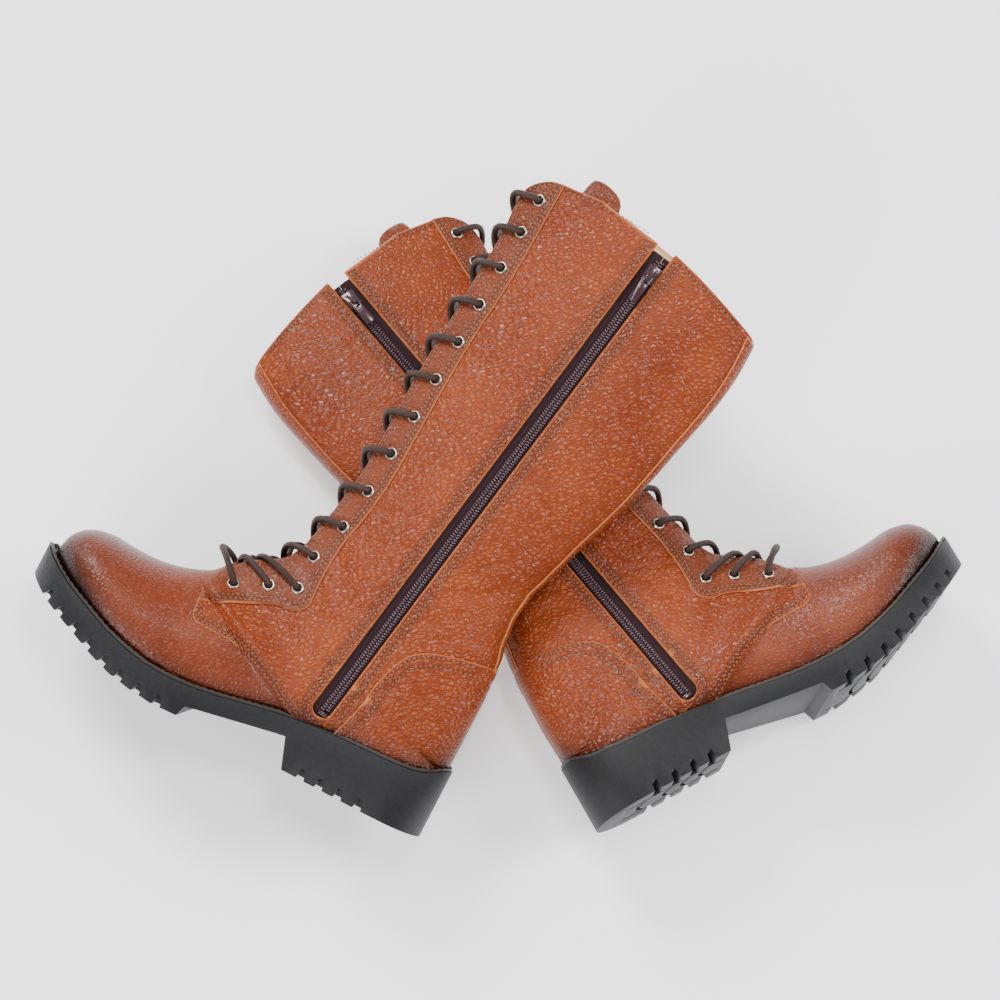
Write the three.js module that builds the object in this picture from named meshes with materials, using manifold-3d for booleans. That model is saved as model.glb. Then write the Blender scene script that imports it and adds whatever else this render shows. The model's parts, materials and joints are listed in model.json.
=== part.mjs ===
// Pair of tall lace-up boots with a side zip, lying crossed on their outer sides.
//
// Each boot is drawn in its own frame: x runs from the heel to the toe, z from the
// ground up, and y towards the inner (zip) side of the right boot. The left boot is
// the mirror image. Sizes are in millimetres, for a boot of EU size 43.

import * as THREE from 'three';
import { mergeVertices } from 'three/addons/utils/BufferGeometryUtils.js';
import Module from 'manifold-3d';

const wasm = await Module();
wasm.setup();

// ---------------------------------------------------------------- driving sizes

const footLength = 297;        // upper, heel curve to toe
const collarHeight = 425;      // ground to the top of the front panels
const shaftDepth = 38;         // centre plane to the flat outer side of the shaft
const zipBottomY = 37;         // height of the zip over the centre plane, lower end
const zipTopY = 10;            // and at the collar, where the empty shaft lies flat
const leather = 2;             // upper leather
const overlay = 1.5;           // facings and heel counter cover
const liningThick = 1.2;
const stiffenerThick = 1.6;
const clearance = 0.3;         // between pieces that touch
const seamGap = 0.5;           // between panels that meet edge to edge
const underlap = 0.5;          // facing over the front edge of the quarter
const stripHalfWidth = 10.5;   // back strip
const soleMargin = 5.5;        // outsole beyond the foot of the upper
const lugDepth = 7;
const weltHeight = 2;
const insoleThick = 2.2;
const footbedThick = 4;
const eyeletRadius = 4.2;
const eyeletBore = 2.9;
const eyeletTape = 1.1;        // half thickness of the tape that joins a row
const eyeletRise = 0.9;        // ring over the facing
const laceRadius = 2;
const laceLoft = 4.8;          // over the facing's edge
const laceSides = 4;
const eyeletSides = 4;
const tongueThick = 1.8;
const tongueDepth = 13;        // under the facings, clear of the lace between
const tongueRise = 12;         // tab over the collar
const tongueLean = 24;         // back from the facings at the collar
const tongueHalfAngle = 42;    // degrees round the front of the shaft
const tongueSpread = 18;       // more at the collar
const tongueFreeRib = 2.2;     // where it starts to lean and spread
const zipSlotFront = 8.5;      // chain centre to the front leather edge
const zipSlotRear = 4.8;       // chain centre to the rear leather edge
const tapeHalfWidth = 15;
const tapeThick = 0.8;
const chainHalfWidth = 3.2;
const sliderLength = 12;
const sliderWidth = 8.8;
const pullLength = 20;
const pullWidth = 6.2;
const pullThick = 1.3;
const bailHole = [5.6, 1.9];   // along the slider and over its plate
const crossGap = 0.5;          // between the upper boot and the one it lies on

// The pattern below is drawn for these two sizes and graded to the ones above.
const patternLength = 297;
const patternCollar = 425;
const patternDepth = 38;
const ankleHeight = 160;

const lengthGrade = footLength / patternLength;
const shaftGrade = (collarHeight - ankleHeight) / (patternCollar - ankleHeight);

function gradeZ(z) {
  return z <= ankleHeight ? z : ankleHeight + (z - ankleHeight) * shaftGrade;
}

function grade(points) {
  return points.map(([x, z]) => [x * lengthGrade, gradeZ(z)]);
}

// ------------------------------------------------------------- the foot's plan

// Half width of the foot of the upper and the swing of its centre line, by x.
const planHalf = [[0, 31], [60, 30], [105, 28.5], [150, 36], [185, 43], [215, 45], [240, 44], [300, 42]];
const planCentre = [[0, 0], [60, 0], [110, -2.5], [150, -3], [185, -1], [215, 1], [243, 3], [300, 5]];
const heelBack = 2.2;
const heelRound = 31;
const toeRound = 235;
const toeTip = 297.5;

// Height of the sole's top edge over the ground, by x.
const soleTop = [
  [-8, 47.5], [2, 46.5], [9, 42.2], [18, 39.6], [36, 37.9], [76, 36.2], [96, 34.3], [116, 31.4],
  [136, 27.5], [156, 23.7], [176, 21.3], [196, 20.9], [216, 24], [236, 29.2], [256, 37.1],
  [277, 45.4], [297, 56.2], [306, 61.5],
];

function along(table, x) {
  const last = table.length - 1;
  if (x <= table[0][0]) return table[0][1];
  if (x >= table[last][0]) return table[last][1];
  const i = table.findIndex((row) => row[0] > x) - 1;
  const slope = (j) => {
    if (j < 0 || j >= last) return 0;
    return (table[j + 1][1] - table[j][1]) / (table[j + 1][0] - table[j][0]);
  };
  const knot = (j) => (slope(j - 1) * slope(j) <= 0 ? 0 : (slope(j - 1) + slope(j)) / 2);
  const span = table[i + 1][0] - table[i][0];
  const t = (x - table[i][0]) / span;
  const h1 = t * t * (3 - 2 * t);
  const h2 = t * (1 - t) * (1 - t) * span;
  const h3 = t * t * (t - 1) * span;
  return table[i][1] * (1 - h1) + table[i + 1][1] * h1 + knot(i) * h2 + knot(i + 1) * h3;
}

function featherHalf(x, margin = 0) {
  const u = x / lengthGrade;
  const back = heelBack - margin;
  const front = toeTip + margin;
  let round = 1;
  if (u < heelRound) round = Math.sqrt(Math.max(0, 1 - ((heelRound - u) / (heelRound - back)) ** 2));
  if (u > toeRound) round = Math.sqrt(Math.max(0, 1 - ((u - toeRound) / (front - toeRound)) ** 2));
  return (along(planHalf, u) + margin) * round;
}

const featherCentre = (x) => along(planCentre, x / lengthGrade);
const soleTopAt = (x) => along(soleTop, x / lengthGrade);

// --------------------------------------------------------- the upper's surface

// Ribs round the leg and the foot, from the collar to the toe. Each has its front
// point, its back point (on the sole's edge from the heel on), and how far it
// reaches to the outer and to the inner side of the centre plane.
const ribs = [
  [134, 434, -49, 410, 38, 10],
  [135, 372, -48.5, 360, 38, 14],
  [138.5, 310, -39.5, 312, 38, 18],
  [141, 255, -23.5, 256, 38, 22],
  [143.5, 205, -6, 205, 38, 27],
  [148.5, 165, 6.5, 160, 38, 31],
  [156.5, 136, 3, 118, 37.5, 34],
  [167, 119.5, 1.5, 82, 37, 36],
  [175, 114, 1.5, 62, 36.5, 37],
  [180, 111.2, 2.2, 47.8, 36.2, 37],
  [184.5, 108, 6, 44.5, 36, 37],
  [191.5, 101, 30, 38.8, 36.5, 37],
  [198.5, 93.7, 70, 37, 38.5, 38],
  [208.8, 88.6, 110, 33, 42, 38],
  [222, 84.2, 150, 25.3, 47, 42],
  [238, 82, 185, 21.4, 49, 47],
  [254, 82.2, 215, 24.2, 48, 50],
  [268, 83.3, 246, 33.6, 42.5, 49.5],
  [280.5, 81, 270, 43.2, 33.5, 42.5],
  [289, 75.5, 285, 50, 23, 32],
  [294.3, 66.5, 293.5, 55, 12.5, 22],
  [296, 60, 296.6, 57, 3, 12.5],
].map(([fx, fz, bx, bz, out, inn]) => ({
  front: new THREE.Vector2(...grade([[fx, fz]])[0]),
  back: new THREE.Vector2(...grade([[bx, bz]])[0]),
  out: out + shaftDepth - patternDepth,
  inn,
}));

const footRib = 9;             // ribs beyond this one end on the sole's edge
const zipLastRib = 11.6;       // the zip's straight line shapes the ribs up to here
const zipFreeRib = 13;         // and no longer from here
const frontFullness = 0.85;
const ribStops = [0, 1.5, 3, 4, 5, 6, 7, 8, 9, 9.4, 10, 11, 12, 13, 14, 15, 16, 17, 18, 19, 20, 21];
const angleStops = [0, 25, 50, 96, 140, 162, 180];
const innerStops = [0, 25, 50, 96, 140, 180];

function ribValue(s, get) {
  const i = Math.min(Math.floor(s), ribs.length - 2);
  const t = s - i;
  const p = [i - 1, i, i + 1, i + 2].map((j) => get(ribs[Math.min(Math.max(j, 0), ribs.length - 1)]));
  const a = (p[2] - p[0]) / 2;
  const b = (p[3] - p[1]) / 2;
  const c = p[2] - p[1];
  return p[1] + t * (a + t * (3 * c - 2 * a - b + t * (a + b - 2 * c)));
}

const zipFoot = new THREE.Vector2(...grade([[88, 47]])[0]);
const zipHead = new THREE.Vector2(...grade([[28.5, 410]])[0]);
const zipStart = new THREE.Vector3(zipFoot.x, zipBottomY, zipFoot.y);
const zipEnd = new THREE.Vector3(zipHead.x, zipTopY, zipHead.y);
const zipAxis = zipEnd.clone().sub(zipStart).normalize();
const zipLength = zipEnd.distanceTo(zipStart);

function backFullness(s) {
  const t = Math.min(Math.max((s - 3.5) / 2.5, 0), 1);
  return 0.8 - 0.16 * t * t * (3 - 2 * t);
}

const cross2 = (a, b) => a.x * b.y - a.y * b.x;
const ribCache = new Map();

function rib(s) {
  if (ribCache.has(s)) return ribCache.get(s);
  const front = new THREE.Vector2(ribValue(s, (r) => r.front.x), ribValue(s, (r) => r.front.y));
  const back = new THREE.Vector2(ribValue(s, (r) => r.back.x), ribValue(s, (r) => r.back.y));
  const out = ribValue(s, (r) => r.out);
  let inn = ribValue(s, (r) => r.inn);
  const full = backFullness(s);
  const foot = s > footRib ? featherHalf(back.x) : 0;
  const endAngle = (half) => Math.PI - Math.asin(Math.min(foot / half, 0.999) ** (1 / full));
  const zipDirection = zipHead.clone().sub(zipFoot);
  const chord = back.clone().sub(front);
  const share = cross2(zipFoot.clone().sub(front), zipDirection) / cross2(chord, zipDirection);
  if (s < zipFreeRib) {
    const meet = front.clone().lerp(back, share).sub(zipFoot).dot(zipDirection) / zipDirection.lengthSq();
    const height = zipBottomY + (zipTopY - zipBottomY) * meet;
    let half = (out + inn) / 2;
    for (let i = 0; i < 6; i += 1) {
      const cosine = 1 - share * (1 - Math.cos(endAngle(half)));
      const reach = Math.sqrt(Math.max(1 - cosine * cosine, 0.2)) ** (cosine > 0 ? frontFullness : full);
      half = (height + out) / (1 + reach);
    }
    const keep = Math.min(Math.max((zipFreeRib - s) / (zipFreeRib - zipLastRib), 0), 1);
    inn += keep * (2 * half - out - inn);
  }
  const half = (out + inn) / 2;
  const made = { front, back, half, centre: (inn - out) / 2, full, foot, end: endAngle(half) };
  ribCache.set(s, made);
  return made;
}

// Point at rib s and at psi, the share of the way from the front (0) to the back
// or the sole's edge, positive on the inner side.
function skin(s, psi) {
  const r = rib(Math.min(Math.max(s, 0), ribs.length - 1));
  const angle = Math.min(Math.abs(psi), 1) * r.end;
  const share = (1 - Math.cos(angle)) / (1 - Math.cos(r.end));
  const side = Math.max(Math.sin(angle), 0) ** (angle < Math.PI / 2 ? frontFullness : r.full);
  const p = r.front.clone().lerp(r.back, share);
  return new THREE.Vector3(p.x, r.centre + Math.sign(psi) * r.half * side, p.y);
}

function skinNormal(s, psi) {
  const ds = 0.02;
  const dp = 0.01;
  const next = s <= footRib && s + ds > footRib ? s : s + ds;
  const lengthways = skin(next, psi).sub(skin(s - ds, psi));
  const closed = rib(s).foot === 0 && Math.abs(psi) > 1 - dp;
  const across = closed
    ? new THREE.Vector3(0, -Math.sign(psi), 0)
    : skin(s, Math.min(psi + dp, 1)).sub(skin(s, Math.max(psi - dp, -1)));
  const normal = lengthways.cross(across).normalize();
  const r = rib(s);
  const middle = new THREE.Vector3((r.front.x + r.back.x) / 2, r.centre, (r.front.y + r.back.y) / 2);
  if (normal.dot(skin(s, psi).sub(middle)) < 0) normal.negate();
  return normal;
}

function skinPoint(s, psi, height) {
  return skin(s, psi).addScaledVector(skinNormal(s, psi), height);
}

// Rib and psi under a point of the side view.
function findOnSkin(x, z) {
  const point = new THREE.Vector2(x, z);
  const miss = (s) => {
    const r = rib(s);
    return cross2(point.clone().sub(r.front), r.back.clone().sub(r.front));
  };
  let low = 0;
  let high = ribs.length - 1;
  for (let i = 0; i < 40; i += 1) {
    const mid = (low + high) / 2;
    if (miss(low) * miss(mid) <= 0) high = mid;
    else low = mid;
  }
  const r = rib(low);
  const chord = r.back.clone().sub(r.front);
  const share = point.sub(r.front).dot(chord) / chord.lengthSq();
  const angle = Math.acos(1 - share * (1 - Math.cos(r.end)));
  return { s: low, psi: angle / r.end };
}

// ------------------------------------------------------------- solids and cuts

function toManifold(geometry) {
  const bare = geometry.clone();
  bare.deleteAttribute('normal');
  bare.deleteAttribute('uv');
  const merged = mergeVertices(bare, 1e-4);
  const solid = new wasm.Manifold(new wasm.Mesh({
    numProp: 3,
    vertProperties: new Float32Array(merged.attributes.position.array),
    triVerts: new Uint32Array(merged.index.array),
  }));
  return solid;
}

function toGeometry(solid) {
  const mesh = solid.getMesh();
  const geometry = new THREE.BufferGeometry();
  geometry.setAttribute('position', new THREE.BufferAttribute(new Float32Array(mesh.vertProperties), 3));
  geometry.setIndex(new THREE.BufferAttribute(new Uint32Array(mesh.triVerts), 1));
  geometry.computeVertexNormals();
  return geometry;
}

// Closed solid between an outer and an inner grid of points, with the same rows.
// Columns before turned have the other diagonal, so that mirrored halves match.
function gridSolid(outer, inner, turned = 0) {
  const rows = outer.length;
  const cols = outer[0].length;
  const positions = [];
  const index = [];
  [outer, inner].flat(2).forEach((p) => positions.push(p.x, p.y, p.z));
  const id = (level, i, j) => level * rows * cols + i * cols + j;
  const quad = (a, b, c, d) => index.push(a, b, c, a, c, d);
  for (let i = 0; i < rows - 1; i += 1) {
    for (let j = 0; j < cols - 1; j += 1) {
      const face = (level) => [[i, j], [i, j + 1], [i + 1, j + 1], [i + 1, j]].map((at) => id(level, ...at));
      const [a, b, c, d] = face(0);
      const [e, f, g, h] = face(1);
      if (j < turned) {
        quad(b, c, d, a);
        quad(f, e, h, g);
      } else {
        quad(a, b, c, d);
        quad(e, h, g, f);
      }
    }
    quad(id(0, i, 0), id(0, i + 1, 0), id(1, i + 1, 0), id(1, i, 0));
    quad(id(0, i + 1, cols - 1), id(0, i, cols - 1), id(1, i, cols - 1), id(1, i + 1, cols - 1));
  }
  for (let j = 0; j < cols - 1; j += 1) {
    quad(id(0, 0, j + 1), id(0, 0, j), id(1, 0, j), id(1, 0, j + 1));
    quad(id(0, rows - 1, j), id(0, rows - 1, j + 1), id(1, rows - 1, j + 1), id(1, rows - 1, j));
  }
  const geometry = new THREE.BufferGeometry();
  geometry.setAttribute('position', new THREE.Float32BufferAttribute(positions, 3));
  geometry.setIndex(index);
  const solid = toManifold(geometry);
  if (solid.volume() > 0) return solid;
  for (let i = 0; i < index.length; i += 3) [index[i + 1], index[i + 2]] = [index[i + 2], index[i + 1]];
  geometry.setIndex(index);
  return toManifold(geometry);
}

// Share of the half section at which the back side is still halfWidth wide.
function psiAtWidth(s, halfWidth) {
  const r = rib(s);
  const angle = Math.PI - Math.asin(Math.min(halfWidth / r.half, 1) ** (1 / r.full));
  return Math.min(angle / r.end, 1);
}

// Layer of the upper between two heights over the skin. side is 1 for the inner
// half, -1 for the outer half and 0 for both in one piece across the front.
function layer(side, from, to, fromRib = 0, toRib = 21, backGap = seamGap / 2, angles = angleStops) {
  const stops = [fromRib, ...ribStops.filter((s) => s > fromRib && s < toRib), toRib];
  const psiStops = (s) => {
    const limit = psiAtWidth(s, backGap);
    const half = (stopAngles) => stopAngles.map((a) => (a === 180 ? limit : Math.min(a / 180, limit)));
    const inner = half(angles);
    if (side === 0) return [...inner.slice(1).reverse().map((v) => -v), ...inner];
    return inner.map((v) => side * Math.max(v, 1e-4));
  };
  const grid = (height) => stops.map((s) => psiStops(s).map((psi) => skinPoint(s, psi, height)));
  const turned = side === 0 ? angles.length - 1 : 0;
  return gridSolid(grid(to), grid(from), turned);
}

// Prism across the boot over an outline of the side view.
function prism(outline, from = -150, to = 150) {
  const shape = new THREE.Shape(outline.map(([x, z]) => new THREE.Vector2(x, z)));
  const geometry = new THREE.ExtrudeGeometry(shape, { depth: to - from, bevelEnabled: false });
  geometry.rotateX(Math.PI / 2);
  geometry.translate(0, to, 0);
  return toManifold(geometry);
}

function shiftPath(points, distance) {
  return points.map(([x, z], i) => {
    const [ax, az] = points[Math.max(i - 1, 0)];
    const [bx, bz] = points[Math.min(i + 1, points.length - 1)];
    const length = Math.hypot(bx - ax, bz - az);
    return [x - (distance * (bz - az)) / length, z + (distance * (bx - ax)) / length];
  });
}

// ------------------------------------------------------------ pattern outlines

const far = 90;
const below = [[footLength + far, -far], [-far, -far]];

// Rear edge of the facing, from the collar down to its tip on the vamp.
const facingRear = grade([
  [108, 425.4], [110.4, 355], [115.2, 304], [117.6, 245], [119, 204], [122.5, 174], [128.4, 146],
  [129.6, 114], [128.6, 103], [134, 96.7], [149, 93.5], [168.6, 84.2], [188.3, 75.3], [195.4, 73],
]);
// Front edge of the facing, from its tip up to the collar.
const facingFront = grade([
  [195.4, 73], [195.4, 84], [192.3, 94.2], [187.3, 100.4], [177.7, 109.8], [165, 117.6], [155.4, 125.5],
  [149, 143], [145, 163], [139.6, 193.5], [137.8, 223.6], [136.4, 264], [134.2, 304], [132, 344],
  [130.4, 374], [130.5, 404], [128, 414.3], [118.5, 422.7], [108, 425.4],
]);
// Edge of the quarter over the vamp, from the facing's tip back to the sole.
const vampRear = grade([
  [195.4, 73], [191.8, 60.5], [177.6, 60], [162.6, 59.6], [147.3, 55.4], [132, 49.7], [116.7, 40.6],
  [100, 30],
]);
const collarFront = grade([[108, 425.4], [63.5, 427], [32, 423.5]]);
const collarRear = grade([[22, 417.5], [2, 411.5], [-42, 394.8], [-70, 386]]);
const counterTop = grade([
  [-far, 121.6], [0, 121.6], [20, 118.7], [39.8, 113.8], [52.5, 107.5], [59.2, 99], [65.4, 81.7],
  [69.4, 58.5], [76.4, 36.2], [78, 20],
]);
const throatX = 200 * lengthGrade;

// Eyelets of one side, from the toe up to the collar.
const eyelets = grade([
  [180, 91.7], [158.8, 102.4], [140.6, 109.5], [140.7, 132.4], [133, 158.8], [129.2, 187],
  [127, 215.8], [124.9, 244.3], [123.5, 272.6], [122, 301.2], [121, 329.5], [119.8, 357.6],
  [119, 384.6], [118, 408.5],
]);

// Line beside the zip, from the collar down to a height over the ground.
function besideZip(distance, toZ = -far) {
  const direction = zipHead.clone().sub(zipFoot).normalize();
  const side = new THREE.Vector2(direction.y, -direction.x).multiplyScalar(distance);
  const start = zipFoot.clone().add(side);
  const at = (z) => start.clone().addScaledVector(direction, (z - start.y) / direction.y);
  return [at(collarHeight + far), at(toZ)].map((p) => [p.x, p.y]);
}

const zipSlotFoot = zipFoot.y - 4;
const raise = ([[x, z], ...rest]) => [[x - 1, z + 20], [x, z], ...rest];
const quarterFront = raise(shiftPath(facingRear, underlap));

function quarterOutline(frontEdge, gap) {
  return [
    ...frontEdge,
    ...shiftPath(vampRear, -gap).slice(1),
    [100 * lengthGrade, -far],
    [-far, -far],
    [-far, collarHeight + far],
  ];
}

const collarCut = prism([[footLength, 421], ...grade([[118.5, 422.7]]), ...collarFront,
  [-far, collarFront[2][1]], [-far, -far], [footLength + far, -far], [footLength + far, 421]]);
const rearCollarCut = prism([...collarRear, [-far, collarRear[3][1]], [-far, -far],
  [footLength + far, -far], [footLength + far, collarRear[0][1]]]);
const quarterCut = prism(quarterOutline(quarterFront, seamGap / 2));
const vampCut = prism([
  [throatX, 200], [throatX - 1, 82], ...shiftPath(vampRear, seamGap / 2), [100 * lengthGrade, -far],
  [footLength + far, -far], [footLength + far, 200],
]);
const facingCut = prism([...facingRear, ...facingFront.slice(1, -1)]);
const counterCut = prism([...counterTop, [-far, 20]]);
const frontOfZip = prism([
  ...besideZip(zipSlotFront, zipSlotFoot), ...besideZip(-zipSlotRear, zipSlotFoot).slice(1),
  ...besideZip(-zipSlotRear + seamGap).slice(1), [footLength + far, -far], [footLength + far, collarHeight + far],
]);
const behindZip = prism([...besideZip(-zipSlotRear), [-far, -far], [-far, collarHeight + far]]);
const liningFrontOfZip = prism([
  ...besideZip(tapeHalfWidth + 1), [footLength + far, -far], [footLength + far, collarHeight + far],
]);
const liningBehindZip = prism([...besideZip(-tapeHalfWidth - 1), [-far, -far], [-far, collarHeight + far]]);
const liningCut = prism([
  ...quarterFront.slice(0, -1), [196, 70], [214, 70], [214, 200], [footLength + far, 200],
  ...below, [-far, collarHeight + far],
]);

// ----------------------------------------------------------- pieces of a boot

const toeRib = 20.4;           // inner layers end before the toe's last ribs

// Back strip between two heights over the skin, down to the heel counter cover.
const strip = (grow, from, to) => {
  const wide = stripHalfWidth + grow;
  const reach = grow > 0 ? 6 : 5.95;
  const stops = ribStops.filter((s) => s < reach).concat(reach);
  const grid = (height) => stops.map((s) => [-1, -0.5, 0, 0.5, 1].map((share) => {
    const psi = share === 0 ? 1 : psiAtWidth(s, Math.abs(share) * wide);
    return skinPoint(s, share <= 0 ? -psi : psi, height);
  }));
  return gridSolid(grid(to), grid(from));
};

function upperPanels() {
  const inner = layer(1, -leather, 0);
  const outer = layer(-1, -leather, 0);
  const stripHole = strip(seamGap, -leather - 6, 3);
  const cover = (side, gap) => layer(side, clearance, clearance + overlay, 4.5, 13, gap);
  const facing = (side) => layer(side, clearance, clearance + overlay, 0, 14).intersect(facingCut);
  return {
    vamp: layer(0, -leather, 0, 9.6, 21).intersect(vampCut),
    quarter_zip_side: inner.intersect(quarterCut).intersect(collarCut).intersect(frontOfZip),
    rear_panel: inner.intersect(behindZip).intersect(rearCollarCut).subtract(stripHole),
    quarter_outer_side: outer.intersect(quarterCut).intersect(collarCut).intersect(rearCollarOuter())
      .subtract(stripHole),
    heel_counter_cover: cover(1, 0).add(cover(-1, 0)).intersect(counterCut)
      .subtract(strip(seamGap, -leather, clearance)),
    back_strip: strip(0, -leather, 0).intersect(rearCollarCut),
    facing_zip_side: facing(1),
    facing_outer_side: facing(-1),
  };
}

// The outer side has the same collar line without the zip's step.
function rearCollarOuter() {
  const line = grade([[108, 425.4], [63.5, 424], [30, 419], [2, 411.5], [-42, 394.8], [-70, 386]]);
  const ends = [[-far, line[5][1]], [-far, -far], [footLength + far, -far]];
  return prism([[footLength + far, 426], ...line, ...ends]);
}

function liningPieces() {
  const top = -leather - stiffenerThick - 2.5 * clearance;
  const half = (side) => layer(side, top - liningThick, top, 0, toeRib, clearance / 2, innerStops)
    .intersect(liningCut);
  const lowCollar = prism([
    [footLength + far, 420], ...grade([[108, 421], [63, 420], [2, 407], [-42, 391], [-70, 382]]),
    [-far, 300], [-far, -far], [footLength + far, -far],
  ]);
  const inner = half(1).intersect(lowCollar);
  return {
    lining_outer_side: half(-1).intersect(lowCollar),
    lining_front: inner.intersect(liningFrontOfZip),
    lining_rear: inner.intersect(liningBehindZip),
  };
}

function stiffeners() {
  const to = -leather - 1.5 * clearance;
  const from = to - stiffenerThick;
  const heel = prism(grade([[-far, 104], [28, 98], [46, 84], [62, 48], [64, 20], [-far, 20]]));
  const toe = prism(grade([
    [238, 200], [231, 60], [228, 20], [patternLength + far, 20], [patternLength + far, 200],
  ]));
  const heelSide = (side) => layer(side, from, to, 5, 9, 0, innerStops);
  return {
    heel_stiffener: heelSide(1).add(heelSide(-1)).intersect(heel),
    toe_puff: layer(0, from, to, 14, toeRib, 0, innerStops).intersect(toe),
  };
}

// The tongue lies inside the facings and rises to the vamp at the throat. Towards
// the collar it leans back into the empty shaft and spreads.
function tonguePiece() {
  const stops = [-0.12, ...ribStops.filter((s) => s < 12), 12.5];
  const depth = (s) => tongueDepth - 2.6 * THREE.MathUtils.smoothstep(s, 11.4, 12.5);
  const grid = (sink) => stops.map((s) => {
    const r = rib(Math.max(s, 0));
    const free = 1 - THREE.MathUtils.smoothstep(s, 0, tongueFreeRib);
    const inset = depth(s) + sink + tongueLean * free;
    const chord = r.back.clone().sub(r.front).normalize();
    const rise = s < 0 ? new THREE.Vector2(-2, tongueRise) : new THREE.Vector2();
    const width = s < 0 ? 0.7 : 1 - 0.45 * THREE.MathUtils.smoothstep(s, 10, 12.5);
    const halfAngle = THREE.MathUtils.degToRad(tongueHalfAngle + tongueSpread * free);
    return [-1, -0.62, -0.3, 0, 0.3, 0.62, 1].map((share) => {
      const angle = Math.abs(share) * width * halfAngle;
      const length = r.back.distanceTo(r.front) - inset;
      const back = (length * (1 - Math.cos(angle))) / (1 - Math.cos(r.end));
      const p = r.front.clone().addScaledVector(chord, inset + back);
      const reach = (r.half - depth(s) - sink) * Math.sin(angle) ** frontFullness;
      return new THREE.Vector3(p.x + rise.x, r.centre + Math.sign(share) * reach, p.y + rise.y);
    });
  });
  return gridSolid(grid(0), grid(tongueThick));
}

// ------------------------------------------------------------ eyelets and lace

const holePlaces = eyelets.map(([x, z]) => findOnSkin(x, z));

function holeFrame(i, side) {
  const { s, psi } = holePlaces[i];
  const low = ribStops.filter((v) => v <= s).pop();
  const high = ribStops.find((v) => v > s);
  const shares = angleStops.map((a) => a / 180);
  const left = shares.filter((v) => v <= psi).pop();
  const right = shares.find((v) => v > psi);
  const corner = (a, b) => skin(a, side * b);
  const u = (s - low) / (high - low);
  const v = (psi - left) / (right - left);
  const point = corner(low, left).multiplyScalar((1 - u) * (1 - v))
    .addScaledVector(corner(high, left), u * (1 - v))
    .addScaledVector(corner(low, right), (1 - u) * v)
    .addScaledVector(corner(high, right), u * v);
  return { point, normal: skinNormal(s, side * psi) };
}

function post(frame, radius, from, to, sides) {
  const geometry = new THREE.CylinderGeometry(radius, radius, to - from, sides);
  geometry.translate(0, (to + from) / 2, 0);
  geometry.applyQuaternion(new THREE.Quaternion().setFromUnitVectors(new THREE.Vector3(0, 1, 0), frame.normal));
  geometry.translate(frame.point.x, frame.point.y, frame.point.z);
  return toManifold(geometry);
}

const facingTop = clearance + overlay;

function eyeletPieces(panels) {
  const pieces = {};
  [['zip_side', 1], ['outer_side', -1]].forEach(([name, side]) => {
    const frames = holePlaces.map((place, i) => holeFrame(i, side));
    const centres = frames.map(({ point, normal }) => point.clone().addScaledVector(normal, -leather));
    let row = tube(centres, eyeletTape, 4);
    let facing = panels[`facing_${name}`];
    frames.forEach((frame) => {
      row = row.add(post(frame, eyeletRadius, -leather - eyeletTape, facingTop + eyeletRise, eyeletSides));
      facing = facing.subtract(post(frame, eyeletRadius + clearance, -2, 5, eyeletSides));
    });
    frames.forEach((frame) => {
      row = row.subtract(post(frame, eyeletBore, -6, 6, eyeletSides));
    });
    panels[`facing_${name}`] = facing;
    pieces[`eyelets_${name}`] = row;
  });
  return pieces;
}

// Closed tube with mitred corners along a line of points.
function tube(points, radius, sides) {
  const positions = [];
  const index = [];
  let up = new THREE.Vector3(0, 0, 1);
  points.forEach((point, i) => {
    const before = i === 0 ? points[1].clone().sub(point) : point.clone().sub(points[i - 1]);
    const after = i === points.length - 1 ? before.clone() : points[i + 1].clone().sub(point);
    const tangent = before.normalize().clone().add(after.normalize()).normalize();
    const stretch = Math.min(1 / Math.max(tangent.dot(after), 0.5), 1.5);
    const fold = after.clone().sub(i === 0 ? after : before);
    const sideways = new THREE.Vector3().crossVectors(tangent, up).normalize();
    up = new THREE.Vector3().crossVectors(sideways, tangent).normalize();
    if (fold.length() > 0.01) fold.normalize();
    for (let k = 0; k < sides; k += 1) {
      const angle = (2 * Math.PI * k) / sides;
      const arm = sideways.clone().multiplyScalar(Math.cos(angle) * radius)
        .addScaledVector(up, Math.sin(angle) * radius);
      arm.addScaledVector(fold, arm.dot(fold) * (stretch - 1));
      positions.push(point.x + arm.x, point.y + arm.y, point.z + arm.z);
    }
  });
  for (let i = 0; i < points.length - 1; i += 1) {
    for (let k = 0; k < sides; k += 1) {
      const next = (k + 1) % sides;
      const a = i * sides + k;
      const b = i * sides + next;
      index.push(a, b, b + sides, a, b + sides, a + sides);
    }
  }
  const last = (points.length - 1) * sides;
  for (let k = 1; k < sides - 1; k += 1) {
    index.push(0, k + 1, k, last, last + k, last + k + 1);
  }
  const geometry = new THREE.BufferGeometry();
  geometry.setAttribute('position', new THREE.Float32BufferAttribute(positions, 3));
  geometry.setIndex(index);
  const solid = toManifold(geometry);
  if (solid.volume() > 0) return solid;
  for (let i = 0; i < index.length; i += 3) [index[i + 1], index[i + 2]] = [index[i + 2], index[i + 1]];
  geometry.setIndex(index);
  return toManifold(geometry);
}

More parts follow.
